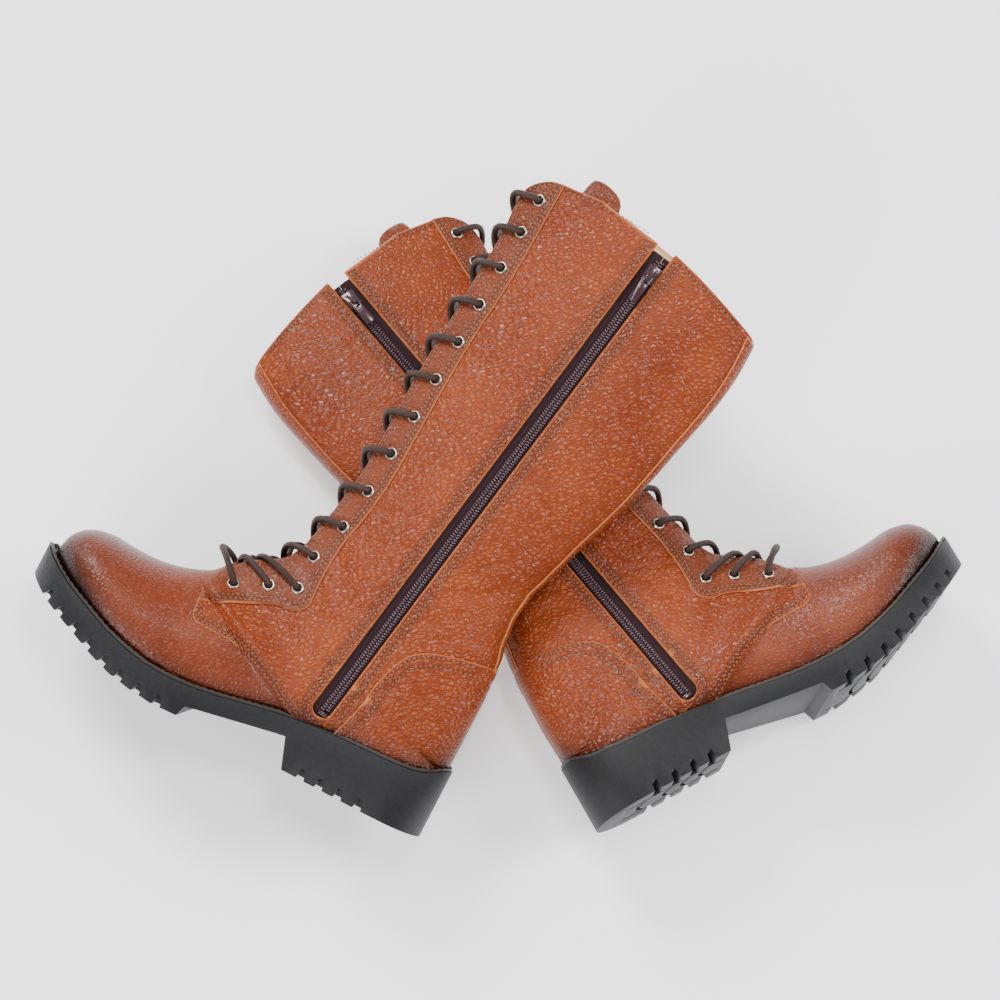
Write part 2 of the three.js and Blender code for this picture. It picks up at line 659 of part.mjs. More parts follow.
// The lace runs criss-cross: over each facing into its eyelet, then under to the
// next row on the other side. A loose bar joins the two strands over the instep.
function lacePiece() {
  const above = facingTop + eyeletRise + laceRadius + 3 * clearance;
  const under = -leather - laceRadius - 5 * clearance;
  const strand = (topSide) => {
    const points = [];
    for (let i = eyelets.length - 1; i >= 0; i -= 1) {
      const side = (eyelets.length - 1 - i) % 2 === 0 ? topSide : -topSide;
      const frame = holeFrame(i, side);
      const at = (height) => frame.point.clone().addScaledVector(frame.normal, height);
      points.push(at(under), at(above));
      if (i === 0) break;
      const next = holePlaces[i - 1];
      const here = holePlaces[i];
      const lofted = facingTop + laceRadius + laceLoft;
      const edge = skinPoint(here.s + 0.15 * (next.s - here.s), side * here.psi * 0.42, lofted);
      const middle = skinPoint((here.s + next.s) / 2, 0, side > 0 ? 2.3 : -2.3);
      const tuck = skinPoint(next.s + 0.2 * (here.s - next.s), -side * next.psi * 0.5, under - 1.6);
      points.push(edge, middle, tuck);
    }
    return points;
  };
  const zipStrand = strand(-1);
  const outerStrand = strand(1);
  const last = holePlaces[0];
  const bar = [0.5, 0, -0.5].map((share) => skinPoint(last.s - 0.5, share * last.psi, share === 0 ? 13 : 11));
  const top = eyelets.length - 1;
  const tail = (side) => {
    const frame = holeFrame(top, side);
    return frame.point.clone().addScaledVector(frame.normal, under - 2).add(new THREE.Vector3(-2, 0, 0));
  };
  const endsInside = outerStrand[outerStrand.length - 1].y > rib(last.s).centre;
  if (!endsInside) bar.reverse();
  return tube([tail(1), ...outerStrand, ...bar, ...zipStrand.reverse(), tail(-1)], laceRadius, laceSides);
}

// -------------------------------------------------------------------- the sole

// Underside of the heel, the waist and the lugs, by x.
const tread = [
  [-8, 0], [96, 0], [103.5, 20.5], [170, 8.6], [172.5, 0.9], [190, 0.6], [207, 2.6], [223, 5.6],
  [238.5, 10.8], [251.7, 16.2], [266, 21.6], [281, 27], [293.5, 33.2], [306, 40.5],
];
const soleStops = [
  -3.2, -2, 1, 6, 12, 20, 31, 50, 76, 96, 103.5, 116, 136, 156, 170, 172.5, 190, 207, 223, 238.5,
  251.7, 266, 275, 284, 291, 296.5, 300, 302.2, 302.8,
];
const heelNotches = [40.5, 55, 69, 82.5];
const foreNotches = [187, 202.5, 217, 231, 245, 258.5, 272, 285];
const notchReach = 19;
const notchMouth = 3.4;        // half widths
const notchRoot = 1.7;
const weltMargin = soleMargin - 0.8;
const weltBore = 2.6;

function treadAt(x) {
  const u = x / lengthGrade;
  const i = Math.max(tread.findIndex((row) => row[0] > u), 1);
  const [[ax, az], [bx, bz]] = [tread[i - 1], tread[i]];
  return az + ((bz - az) * (u - ax)) / (bx - ax);
}

// Slab between two heights given by x, with one half width at each stop.
function deck(stops, half, bottom, top) {
  const stopsGraded = stops.map((x) => x * lengthGrade);
  const grid = (height) => stopsGraded.map((x) => [-1, 1].map((side) => new THREE.Vector3(
    x, featherCentre(x) + side * half(x), height(x),
  )));
  return gridSolid(grid(top), grid(bottom));
}

const inside = (stops, margin) => stops.filter((x) => x > heelBack - margin + 0.2 && x < toeTip + margin - 0.2);
const raised = (height) => (x) => soleTopAt(x) + height;
const aboveSole = prism([
  ...soleStops.map((x) => [x * lengthGrade, soleTopAt(x * lengthGrade) + clearance]),
  [footLength + far, soleTopAt(footLength + far)], [footLength + far, collarHeight + far],
  [-far, collarHeight + far], [-far, soleTopAt(-far)],
]);

function notch(x, side) {
  const rise = treadAt(x + 3) - treadAt(x - 3);
  const tilt = Math.atan2(rise, 6);
  const corners = [[-notchMouth, -2], [notchMouth, -2], [notchRoot, lugDepth], [-notchRoot, lugDepth]];
  const outline = corners.map(([u, v]) => [
    x + u * Math.cos(tilt) - v * Math.sin(tilt), treadAt(x) + u * Math.sin(tilt) + v * Math.cos(tilt),
  ]);
  const edge = featherCentre(x) + side * (featherHalf(x, soleMargin) - notchReach);
  return side > 0 ? prism(outline, edge, 120) : prism(outline, -120, edge);
}

function solePieces() {
  const margin = (m) => (x) => Math.max(featherHalf(x, m), 1);
  let outsole = deck(soleStops, margin(soleMargin), treadAt, soleTopAt);
  [...heelNotches, ...foreNotches].forEach((x) => {
    [1, -1].forEach((side) => {
      outsole = outsole.subtract(notch(x * lengthGrade, side));
    });
  });
  const shankStops = [62, 76, 96, 116, 136, 158];
  const shank = (grow, from, to) => deck(
    [shankStops[0] - grow, ...shankStops.slice(1, -1), shankStops[5] + grow],
    () => 8 + grow,
    raised(from),
    raised(to),
  );
  outsole = outsole.subtract(shank(clearance, -2.2, 2));
  const weltStops = inside(soleStops, weltMargin);
  const weltHole = [-0.2, ...inside(soleStops, weltBore), 299.8];
  const welt = deck(weltStops, margin(weltMargin), raised(clearance), raised(clearance + weltHeight))
    .subtract(deck(weltHole, margin(weltBore), raised(-3), raised(weltHeight + 6)))
    .subtract(layer(1, -leather - 1, overlay + 3 * clearance, 8, 21, 0))
    .subtract(layer(-1, -leather - 1, overlay + 3 * clearance, 8, 21, 0));
  const boardStops = [11.5, 13, 16, ...inside(soleStops, -12), 285.5, 287.5];
  const footbedStops = [13.5, 15, 17, ...inside(soleStops, -14), 283, 285.5];
  const board = clearance + insoleThick;
  const bed = board + clearance;
  return {
    outsole,
    welt,
    shank: shank(0, -clearance - 1.6, -clearance),
    insole_board: deck(boardStops, margin(-9), raised(clearance), raised(board)),
    footbed: deck(footbedStops, margin(-11), raised(bed), raised(bed + footbedThick)),
  };
}

// --------------------------------------------------------------------- the zip

const zipNormal = (() => {
  const middle = zipHead.clone().add(zipFoot).multiplyScalar(0.5);
  const place = findOnSkin(middle.x, middle.y);
  const normal = skinNormal(place.s, place.psi);
  return normal.addScaledVector(zipAxis, -normal.dot(zipAxis)).normalize();
})();
const zipAcross = new THREE.Vector3().crossVectors(zipAxis, zipNormal).negate();
if (zipAcross.x < 0) zipAcross.negate();
const tapeTop = -4.8;       // under the leather's inner face along its whole length
const chainTop = -0.6;
const sliderRest = zipLength - 12;
const sliderTravel = sliderRest - sliderLength / 2 - 1;
const plateTop = chainTop + clearance + 2;
const bailHeight = plateTop + bailHole[1] / 2;

// Box given by its ranges across the zip, along it from its foot, and over the skin.
function zipBox(across, alongZip, height) {
  const ranges = [across, height, alongZip];
  const geometry = new THREE.BoxGeometry(...ranges.map(([from, to]) => to - from));
  geometry.translate(...ranges.map(([from, to]) => (from + to) / 2));
  const frame = new THREE.Matrix4().makeBasis(zipAcross, zipNormal, zipAxis);
  geometry.applyMatrix4(frame.setPosition(zipStart));
  return toManifold(geometry);
}

function zipPieces() {
  const tape = (from, to) => zipBox([from, to], [0, zipLength + 2], [tapeTop - tapeThick, tapeTop]);
  const row = (from, to) => zipBox([from, to], [0, zipLength], [tapeTop - tapeThick / 2, chainTop]);
  const gap = clearance / 2;
  const plate = chainTop + clearance;
  const half = sliderWidth / 2;
  const wall = chainHalfWidth + clearance;
  const ends = [sliderRest - sliderLength / 2, sliderRest + sliderLength / 2];
  const slider = zipBox([-half, half], ends, [plate, plate + 2])
    .add(zipBox([-half, -wall], ends, [tapeTop + clearance, plate + 1]))
    .add(zipBox([wall, half], ends, [tapeTop + clearance, plate + 1]))
    .add(zipBox([-1.3, 1.3], [sliderRest - 4.2, sliderRest + 4.2], [plate + 1, plate + 5]))
    .subtract(zipBox(
      [-2, 2],
      [sliderRest - bailHole[0] / 2, sliderRest + bailHole[0] / 2],
      [plateTop, plateTop + bailHole[1]],
    ));
  const pivot = sliderRest - 1.7;
  const thick = [bailHeight - pullThick / 2, bailHeight + pullThick / 2];
  const arm = [pivot - 7, pivot + pullThick / 2];
  const outer = pullWidth / 2;
  const pull = zipBox([-outer, outer], [pivot - pullThick / 2, pivot + pullThick / 2], thick)
    .add(zipBox([-outer, -1.7], arm, thick))
    .add(zipBox([1.7, outer], arm, thick))
    .add(zipBox([-outer, outer], [pivot - pullLength, pivot - 6], thick));
  return {
    zip_tape_front: tape(gap, tapeHalfWidth).add(row(gap, chainHalfWidth)),
    zip_tape_rear: tape(-tapeHalfWidth, -gap).add(row(-chainHalfWidth, -gap)),
    zip_slider: slider,
    zip_pull: pull,
    zip_stop: zipBox([-3.2, 3.2], [-clearance - 2.6, -clearance], [tapeTop + clearance, chainTop]),
  };
}

// -------------------------------------------------------------------- materials

const looks = {
  outsole: ['#2a2a2c', 0.8, 0],
  welt: ['#232021', 0.7, 0],
  shank: ['#9a9c9e', 0.4, 1],
  insole_board: ['#b39a74', 0.9, 0],
  footbed: ['#c8a273', 0.8, 0],
  heel_stiffener: ['#a08a6c', 0.9, 0],
  toe_puff: ['#a08a6c', 0.9, 0],
  vamp: ['#9c4f2b', 0.45, 0],
  tongue: ['#9a5032', 0.5, 0],
  lace: ['#3a2a26', 0.7, 0],
  zip_tape_front: ['#33242a', 0.9, 0],
  zip_tape_rear: ['#33242a', 0.9, 0],
  zip_slider: ['#4b3a3c', 0.35, 0.9],
  zip_pull: ['#5b4a4b', 0.35, 0.9],
  zip_stop: ['#4b3a3c', 0.35, 0.9],
};

function lookOf(name) {
  if (looks[name]) return looks[name];
  if (name.startsWith('lining')) return ['#c9a27a', 0.8, 0];
  if (name.startsWith('eyelets')) return ['#b9bbbd', 0.3, 0.9];
  return ['#a8552c', 0.45, 0];
}

// ------------------------------------------------------------------ both boots

function bootPieces() {
  const panels = upperPanels();
  const eyeletRows = eyeletPieces(panels);
  const upper = { ...panels, ...stiffeners(), ...liningPieces() };
  Object.keys(upper).forEach((name) => {
    upper[name] = upper[name].intersect(aboveSole);
  });
  const closing = { tongue: tonguePiece(), ...eyeletRows, lace: lacePiece(), ...zipPieces() };
  return { ...solePieces(), ...upper, ...closing };
}

const rightPieces = bootPieces();
const mirrored = (solid) => solid.mirror([0, 1, 0]);
const leftPieces = Object.fromEntries(
  Object.entries(rightPieces).map(([name, solid]) => [name, mirrored(solid)]),
);

// Where the heels lie and which way the toes point, seen from above.
const rightHeel = new THREE.Vector2(-58, -220);
const leftHeel = new THREE.Vector2(65, -216);
const rightHeading = 152.5;
const leftHeading = 29;

// Frame of a boot lying on its outer side, rolled about the line of its foot.
function lyingFrame(heel, heading, isRight, roll, lift) {
  const angle = THREE.MathUtils.degToRad(heading);
  const foot = new THREE.Vector3(Math.cos(angle), Math.sin(angle), 0);
  const side = new THREE.Vector3(0, 0, isRight ? 1 : -1);
  const leg = new THREE.Vector3().crossVectors(foot, side);
  const frame = new THREE.Matrix4().makeBasis(foot, side, leg);
  frame.multiply(new THREE.Matrix4().makeRotationX(roll));
  return frame.setPosition(heel.x, heel.y, lift);
}

const outside = ['outsole', 'vamp', 'quarter_zip_side', 'rear_panel', 'quarter_outer_side', 'back_strip',
  'heel_counter_cover', 'facing_zip_side', 'facing_outer_side', 'eyelets_zip_side', 'eyelets_outer_side',
  'lace', 'zip_tape_front', 'zip_tape_rear', 'tongue', 'zip_slider', 'zip_pull'];

const moved = (solid, matrix) => solid.transform(matrix.elements);
const lowest = (solids) => Math.min(...solids.map((solid) => solid.boundingBox().min[2]));
const join = (pieces, matrix) => outside.map((name) => moved(pieces[name], matrix))
  .reduce((whole, solid) => whole.add(solid));

// Roll at which the sole's edge and the shaft both touch the floor.
function findFlatRoll() {
  const shaft = prism([[-far, 220], [footLength, 220], [footLength, 600], [-far, 600]]);
  const leg = leftPieces.quarter_outer_side.intersect(shaft);
  let low = -0.2;
  let high = 0.2;
  for (let i = 0; i < 14; i += 1) {
    const mid = (low + high) / 2;
    const frame = lyingFrame(leftHeel, leftHeading, false, mid, 0);
    const drop = lowest([moved(leg, frame)]) - lowest([moved(leftPieces.outsole, frame)]);
    if (drop > 0) high = mid;
    else low = mid;
  }
  return (low + high) / 2;
}

function settled(pieces, heel, heading, isRight, roll) {
  const frame = lyingFrame(heel, heading, isRight, roll, 0);
  const floor = lowest(outside.map((name) => moved(pieces[name], frame)));
  return lyingFrame(heel, heading, isRight, roll, -floor);
}

const leftFrame = settled(leftPieces, leftHeel, leftHeading, false, findFlatRoll());
const leftWhole = join(leftPieces, leftFrame);

// Roll at which the right boot rests on the left one's shaft.
function findCrossRoll() {
  let low = 0;
  let high = -0.45;
  const local = join(rightPieces, new THREE.Matrix4());
  for (let i = 0; i < 9; i += 1) {
    const mid = (low + high) / 2;
    const frame = settled(rightPieces, rightHeel, rightHeading, true, mid);
    const lowered = moved(local, frame).translate([0, 0, -crossGap]);
    if (lowered.intersect(leftWhole).isEmpty()) high = mid;
    else low = mid;
  }
  return high;
}

const rightFrame = settled(rightPieces, rightHeel, rightHeading, true, findCrossRoll());

function bootGroup(prefix, pieces, frame) {
  const group = new THREE.Group();
  Object.entries(pieces).forEach(([name, solid]) => {
    const [color, roughness, metalness] = lookOf(name);
    const material = new THREE.MeshStandardMaterial({ color, roughness, metalness });
    const mesh = new THREE.Mesh(toGeometry(solid), material);
    mesh.name = `${prefix}_${name}`;
    group.add(mesh);
  });
  group.applyMatrix4(frame);
  return group;
}

const boots = new THREE.Group();
boots.add(bootGroup('left', leftPieces, leftFrame), bootGroup('right', rightPieces, rightFrame));

// Origin under the middle of the pair's outline, on the floor.
const box = new THREE.Box3().setFromObject(boots, true);
const middle = box.getCenter(new THREE.Vector3());
boots.position.set(-middle.x, -middle.y, -box.min.z);

export default boots;
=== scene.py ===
# A pair of tall tan leather lace-up boots with a side zip and lug soles, lying crossed.
import json
import math
import bmesh
import bpy
import numpy as np
from mathutils import Matrix, Vector, geometry


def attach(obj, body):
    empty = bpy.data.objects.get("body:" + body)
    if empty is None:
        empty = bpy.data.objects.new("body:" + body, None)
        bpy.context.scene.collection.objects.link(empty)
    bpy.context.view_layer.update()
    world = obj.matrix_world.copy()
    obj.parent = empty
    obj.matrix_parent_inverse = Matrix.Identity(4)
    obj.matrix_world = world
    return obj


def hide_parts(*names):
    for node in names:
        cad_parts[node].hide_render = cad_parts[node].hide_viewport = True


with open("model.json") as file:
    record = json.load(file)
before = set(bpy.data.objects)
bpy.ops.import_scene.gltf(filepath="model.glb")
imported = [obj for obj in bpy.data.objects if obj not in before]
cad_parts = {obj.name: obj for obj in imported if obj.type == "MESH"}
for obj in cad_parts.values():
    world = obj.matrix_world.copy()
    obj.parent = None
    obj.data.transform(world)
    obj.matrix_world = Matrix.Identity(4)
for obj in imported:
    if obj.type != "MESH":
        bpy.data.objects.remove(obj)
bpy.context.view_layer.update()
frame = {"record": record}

bpy.ops.object.select_all(action="DESELECT")

# ------------------------------------------------------------------ camera and studio
# A plain white paper floor under large soft lights, seen from high above.
camera_data = bpy.data.cameras.new("camera")
camera_data.sensor_width = 36
camera_data.lens = 137.4
camera = bpy.data.objects.new("camera", camera_data)
camera.location = (-0.1815, -0.6231, 2.5401)
camera.rotation_euler = (0.2493, -0.0711, -0.0048)
bpy.context.scene.collection.objects.link(camera)
bpy.context.scene.camera = camera

for name, place, size, power, aim in (
    ("key_softbox", (-1.25, 1.9, 2.2), 1.0, 95, (0, 0, 0.1)),
    ("top_softbox", (0.25, 0.35, 2.9), 0.45, 26, (0, 0, 0)),
    ("side_softbox", (2.3, 0.2, 1.8), 1.2, 62, (0, 0, 0.1)),
    ("low_softbox", (-1.7, -2.0, 1.8), 1.4, 62, (0, 0, 0.1)),
):
    light_data = bpy.data.lights.new(name, "AREA")
    light_data.shape = "SQUARE"
    light_data.size = size
    light_data.energy = power
    light = bpy.data.objects.new(name, light_data)
    light.location = place
    light.rotation_euler = (Vector(aim) - Vector(place)).to_track_quat("-Z", "Y").to_euler()
    bpy.context.scene.collection.objects.link(light)

world = bpy.data.worlds.new("studio")
bpy.context.scene.world = world
world.use_nodes = True
world.node_tree.nodes["Background"].inputs["Color"].default_value = (0.97, 0.97, 1.0, 1)
world.node_tree.nodes["Background"].inputs["Strength"].default_value = 0.62


def linear(code):
    values = [int(code[i:i + 2], 16) / 255 for i in (1, 3, 5)]
    return [((v + 0.055) / 1.055) ** 2.4 if v > 0.04045 else v / 12.92 for v in values] + [1.0]


def add_node(material, kind, settings=None, inputs=None):
    """Adds a node with its settings, and sets or links its inputs by name or index."""
    made = material.node_tree.nodes.new("ShaderNode" + kind)
    for key, value in (settings or {}).items():
        setattr(made, key, value)
    for key, value in (inputs or {}).items():
        if isinstance(value, bpy.types.NodeSocket):
            material.node_tree.links.new(value, made.inputs[key])
        else:
            made.inputs[key].default_value = value
    return made


def new_material(name, shader_inputs):
    material = bpy.data.materials.new(name)
    material.use_nodes = True
    shader = material.node_tree.nodes["Principled BSDF"]
    for key, value in shader_inputs.items():
        shader.inputs[key].default_value = value
    return material, shader


def plug(material, shader, key, output):
    material.node_tree.links.new(output, shader.inputs[key])


def mottled(name, shader_inputs, scale, detail, dark, light):
    """Material in two tones, mixed by a noise of the given scale."""
    material, shader = new_material(name, shader_inputs)
    noise = add_node(material, "TexNoise", None, {"Scale": scale, "Detail": detail})
    tones = add_node(material, "MixRGB", None, {
        "Fac": noise.outputs["Fac"], "Color1": linear(dark), "Color2": linear(light)})
    plug(material, shader, "Base Color", tones.outputs[0])
    return material, shader


# Matt paper: even, without gloss.
paper, paper_shader = new_material("paper_matt_white", {
    "Base Color": linear("#fdfdff"), "Roughness": 0.95, "Emission Color": linear("#fdfdff"),
    "Emission Strength": 0.55})
fibre = add_node(paper, "TexNoise", None, {"Scale": 60.0, "Detail": 3.0})
fibre_bump = add_node(paper, "Bump", None, {"Strength": 0.04, "Height": fibre.outputs["Fac"]})
plug(paper, paper_shader, "Normal", fibre_bump.outputs["Normal"])
bpy.ops.mesh.primitive_plane_add(size=14, location=(0, 0, -0.0012))
floor = bpy.context.object
floor.name = "paper_floor"
floor.data.materials.append(paper)
bpy.ops.object.select_all(action="DESELECT")

# ---------------------------------------------------------------------- the two boots
# Each boot is drawn once in its own frame, in millimetres: x from heel to toe, z up,
# y to the zip side of the right boot. The left boot is its mirror image. Both lie on
# their outer sides, turned by a heading and rolled about the line of the foot.
boots = {"left": {"mirror": -1, "seed": 5}, "right": {"mirror": 1, "seed": 11}}
zip_foot, zip_head = np.array([88.0, 47.0]), np.array([28.5, 410.0])
zip_foot_y, zip_head_y = 37.0, 10.0
heel_rest = Vector((20, 0, 0))
mounts = {mount["name"]: mount for mount in frame["record"]["mounts"]}
joints = {joint["name"]: joint for joint in frame["record"]["behaviour"]["joints"]}


def axes_of(down, zip_line):
    """Three axes at right angles from the leg's direction and the zip's."""
    down = Vector(down).normalized()
    across = down.cross(Vector(zip_line)).normalized()
    return Matrix((down, across, down.cross(across))).transposed()


# The heel's flat underside and the zip's line say how each boot lies.
for boot_name, boot in boots.items():
    mount = mounts[f"{boot_name}_heel_rest"]
    mirror = Matrix.Diagonal((1, boot["mirror"], 1))
    zip_line = Vector((*(zip_foot - zip_head), zip_foot_y - zip_head_y)).xzy
    drawn = axes_of(Vector((0, 0, -1)), mirror @ zip_line)
    turn = axes_of(mount["axis"], joints[f"{boot_name}_zip_slide"]["axis"]) @ drawn.inverted() @ mirror
    boot["turn"] = np.array(turn)
    boot["place"] = 1000 * np.array(mount["pos_m"]) - boot["turn"] @ np.array(heel_rest)


def to_world(points, boot):
    return (np.asarray(points) @ boot["turn"].T + np.array(boot["place"])) / 1000


def make_piece(name, boot_name, points, faces, materials, indices=None, attributes=None, body=None, nodes=(),
               slot="tan_leather", angle=None, normals=True):
    """Mesh piece of one boot from points in its frame, riding on its body."""
    boot = boots[boot_name]
    mesh = bpy.data.meshes.new(f"{boot_name}_{name}")
    mesh.from_pydata(to_world(points, boot).tolist(), [], faces)
    for material in materials:
        mesh.materials.append(material)
    if indices is not None:
        mesh.polygons.foreach_set("material_index", np.asarray(indices, dtype=np.int32))
    for key, values in (attributes or {}).items():
        layer = mesh.attributes.new(key, "FLOAT", "POINT")
        layer.data.foreach_set("value", np.asarray(values, dtype=np.float32))
    if normals:
        shape = bmesh.new()
        shape.from_mesh(mesh)
        bmesh.ops.remove_doubles(shape, verts=shape.verts, dist=0.00001)
        bmesh.ops.recalc_face_normals(shape, faces=shape.faces)
        shape.to_mesh(mesh)
        shape.free()
    mesh.update()
    piece = bpy.data.objects.new(f"{boot_name}_{name}_finished", mesh)
    bpy.context.scene.collection.objects.link(piece)
    piece.select_set(True)
    bpy.context.view_layer.objects.active = piece
    if angle is None:
        bpy.ops.object.shade_smooth()
    else:
        bpy.ops.object.shade_smooth_by_angle(angle=math.radians(angle))
    piece.select_set(False)
    if nodes:
        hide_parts(*[f"{boot_name}_{node}" for node in nodes])
    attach(piece, body or f"{boot_name}_boot")
    return piece


def give_uv(piece, uv):
    """UV map in millimetres from one pair a vertex, where no vertex was merged."""
    layer_uv = piece.data.uv_layers.new(name="UVMap")
    loops = np.zeros(len(piece.data.loops), dtype=np.int32)
    piece.data.loops.foreach_get("vertex_index", loops)
    if len(piece.data.vertices) == len(uv):
        layer_uv.data.foreach_set("uv", uv[loops].astype(np.float32).ravel())


# ------------------------------------------------------------------- the boot's shape
# The upper is drawn over ribs round the leg and the foot, from the collar to the toe:
# front point, back point (on the sole's edge from the heel on), reach to each side.
ribs = np.array([
    [134, 434, -49, 410, 38, 10], [135, 372, -48.5, 360, 38, 14], [138.5, 310, -39.5, 312, 38, 18],
    [141, 255, -23.5, 256, 38, 22], [143.5, 205, -6, 205, 38, 27], [148.5, 165, 6.5, 160, 38, 31],
    [156.5, 136, 3, 118, 37.5, 34], [167, 119.5, 1.5, 82, 37, 36], [175, 114, 1.5, 62, 36.5, 37],
    [180, 111.2, 2.2, 47.8, 36.2, 37], [184.5, 108, 6, 44.5, 36, 37], [191.5, 101, 30, 38.8, 36.5, 37],
    [198.5, 93.7, 70, 37, 38.5, 38], [208.8, 88.6, 110, 33, 42, 38], [222, 84.2, 150, 25.3, 47, 42],
    [238, 82, 185, 21.4, 49, 47], [254, 82.2, 215, 24.2, 48, 50], [268, 83.3, 246, 33.6, 42.5, 49.5],
    [280.5, 81, 270, 43.2, 33.5, 42.5], [289, 75.5, 285, 50, 23, 32], [294.3, 66.5, 293.5, 55, 12.5, 22],
    [296, 60, 296.6, 57, 3, 12.5],
])
plan_half = [(0, 31), (60, 30), (105, 28.5), (150, 36), (185, 43), (215, 45), (240, 44), (300, 42)]
plan_centre = [(0, 0), (60, 0), (110, -2.5), (150, -3), (185, -1), (215, 1), (243, 3), (300, 5)]
sole_top = [
    (-8, 47.5), (2, 46.5), (9, 42.2), (18, 39.6), (36, 37.9), (76, 36.2), (96, 34.3), (116, 31.4),
    (136, 27.5),
    (156, 23.7), (176, 21.3), (196, 20.9), (216, 24), (236, 29.2), (256, 37.1), (277, 45.4), (297, 56.2),
    (306, 61.5),
]
heel_back, heel_round, toe_round, toe_tip = 2.2, 31, 235, 297.5
foot_rib, zip_last_rib, zip_free_rib, front_fullness = 9, 11.6, 13, 0.85
leather = 2.0


def smooth_step(value, low, high):
    t = np.clip((np.asarray(value, float) - low) / (high - low), 0, 1)
    return t * t * (3 - 2 * t)


def along(table, x):
    """Smooth line through a table of (x, value)."""
    xs, ys = (np.array(column, float) for column in zip(*table))
    slopes = np.diff(ys) / np.diff(xs)
    knots = np.zeros(len(xs))
    knots[1:-1] = np.where(slopes[:-1] * slopes[1:] <= 0, 0, (slopes[:-1] + slopes[1:]) / 2)
    knots[0], knots[-1] = slopes[0] / 2, slopes[-1] / 2
    x = np.clip(np.asarray(x, float), xs[0], xs[-1])
    i = np.clip(np.searchsorted(xs, x, side="right") - 1, 0, len(xs) - 2)
    span = xs[i + 1] - xs[i]
    t = (x - xs[i]) / span
    blend = t * t * (3 - 2 * t)
    return (ys[i] * (1 - blend) + ys[i + 1] * blend + knots[i] * t * (1 - t) ** 2 * span
            + knots[i + 1] * t * t * (t - 1) * span)


def sole_half(x, margin=0.0):
    """Half width of the foot's plan, widened by a margin."""
    x = np.asarray(x, float)
    heel = np.sqrt(np.clip(1 - ((heel_round - x) / (heel_round - heel_back + margin)) ** 2, 0, 1))
    toe = np.sqrt(np.clip(1 - ((x - toe_round) / (toe_tip + margin - toe_round)) ** 2, 0, 1))
    return (along(plan_half, x) + margin) * np.where(x < heel_round, heel, np.where(x > toe_round, toe, 1))


def cross2(a, b):
    return a[..., 0] * b[..., 1] - a[..., 1] * b[..., 0]


rib_stops = np.linspace(0, len(ribs) - 1, 1051)
whole = np.clip(np.floor(rib_stops).astype(int), 0, len(ribs) - 2)
part = (rib_stops - whole)[:, None]
p0, p1, p2, p3 = (ribs[np.clip(whole + k, 0, len(ribs) - 1)] for k in (-1, 0, 1, 2))
tangent0, tangent1 = (p2 - p0) / 2, (p3 - p1) / 2
lines = p1 + part * (tangent0 + part * (3 * (p2 - p1) - 2 * tangent0 - tangent1
                                        + part * (tangent0 + tangent1 - 2 * (p2 - p1))))
rib_front, rib_back, rib_out, rib_in = lines[:, 0:2], lines[:, 2:4], lines[:, 4], lines[:, 5].copy()
rib_full = 0.8 - 0.16 * smooth_step(rib_stops, 3.5, 6)
rib_foot = np.where(rib_stops > foot_rib, sole_half(rib_back[:, 0]), 0)


def end_angle(half):
    return np.pi - np.arcsin(np.minimum(rib_foot / half, 0.999) ** (1 / rib_full))


# The zip's line is straight, so it shapes the ribs that it crosses.
zip_way = zip_head - zip_foot
zip_share = cross2(zip_foot - rib_front, zip_way) / cross2(rib_back - rib_front, zip_way)
zip_meets = ((rib_front + (rib_back - rib_front) * zip_share[:, None] - zip_foot) @ zip_way) / (
    zip_way @ zip_way)
zip_line_y = zip_foot_y + (zip_head_y - zip_foot_y) * zip_meets
half_width = (rib_out + rib_in) / 2
for _ in range(6):
    cosine = 1 - zip_share * (1 - np.cos(end_angle(half_width)))
    bulge = np.sqrt(np.maximum(1 - cosine ** 2, 0.2)) ** np.where(cosine > 0, front_fullness, rib_full)
    half_width = (zip_line_y + rib_out) / (1 + bulge)
keep = np.where(rib_stops < zip_free_rib,
                np.clip((zip_free_rib - rib_stops) / (zip_free_rib - zip_last_rib), 0, 1), 0)
rib_in = rib_in + keep * (2 * half_width - rib_out - rib_in)
rib_half, rib_centre = (rib_out + rib_in) / 2, (rib_in - rib_out) / 2
rib_table = np.column_stack([rib_front, rib_back, rib_half, rib_centre, rib_full, end_angle(rib_half)])


def rib_at(s):
    s = np.clip(np.asarray(s, float), 0, len(ribs) - 1)
    return np.stack([np.interp(s, rib_stops, rib_table[:, k]) for k in range(rib_table.shape[1])], -1)


def skin(s, psi):
    """Point of the upper at rib s and share psi of the way from the front to the back,
    positive on the zip side."""
    psi = np.asarray(psi, float)
    r = rib_at(s)
    turned = np.minimum(np.abs(psi), 1) * r[..., 7]
    share = (1 - np.cos(turned)) / (1 - np.cos(r[..., 7]))
    reach = np.maximum(np.sin(turned), 0) ** np.where(turned < np.pi / 2, front_fullness, r[..., 6])
    flat = r[..., 0:2] + (r[..., 2:4] - r[..., 0:2]) * share[..., None]
    return np.stack([flat[..., 0], r[..., 5] + np.sign(psi) * r[..., 4] * reach, flat[..., 1]], -1)


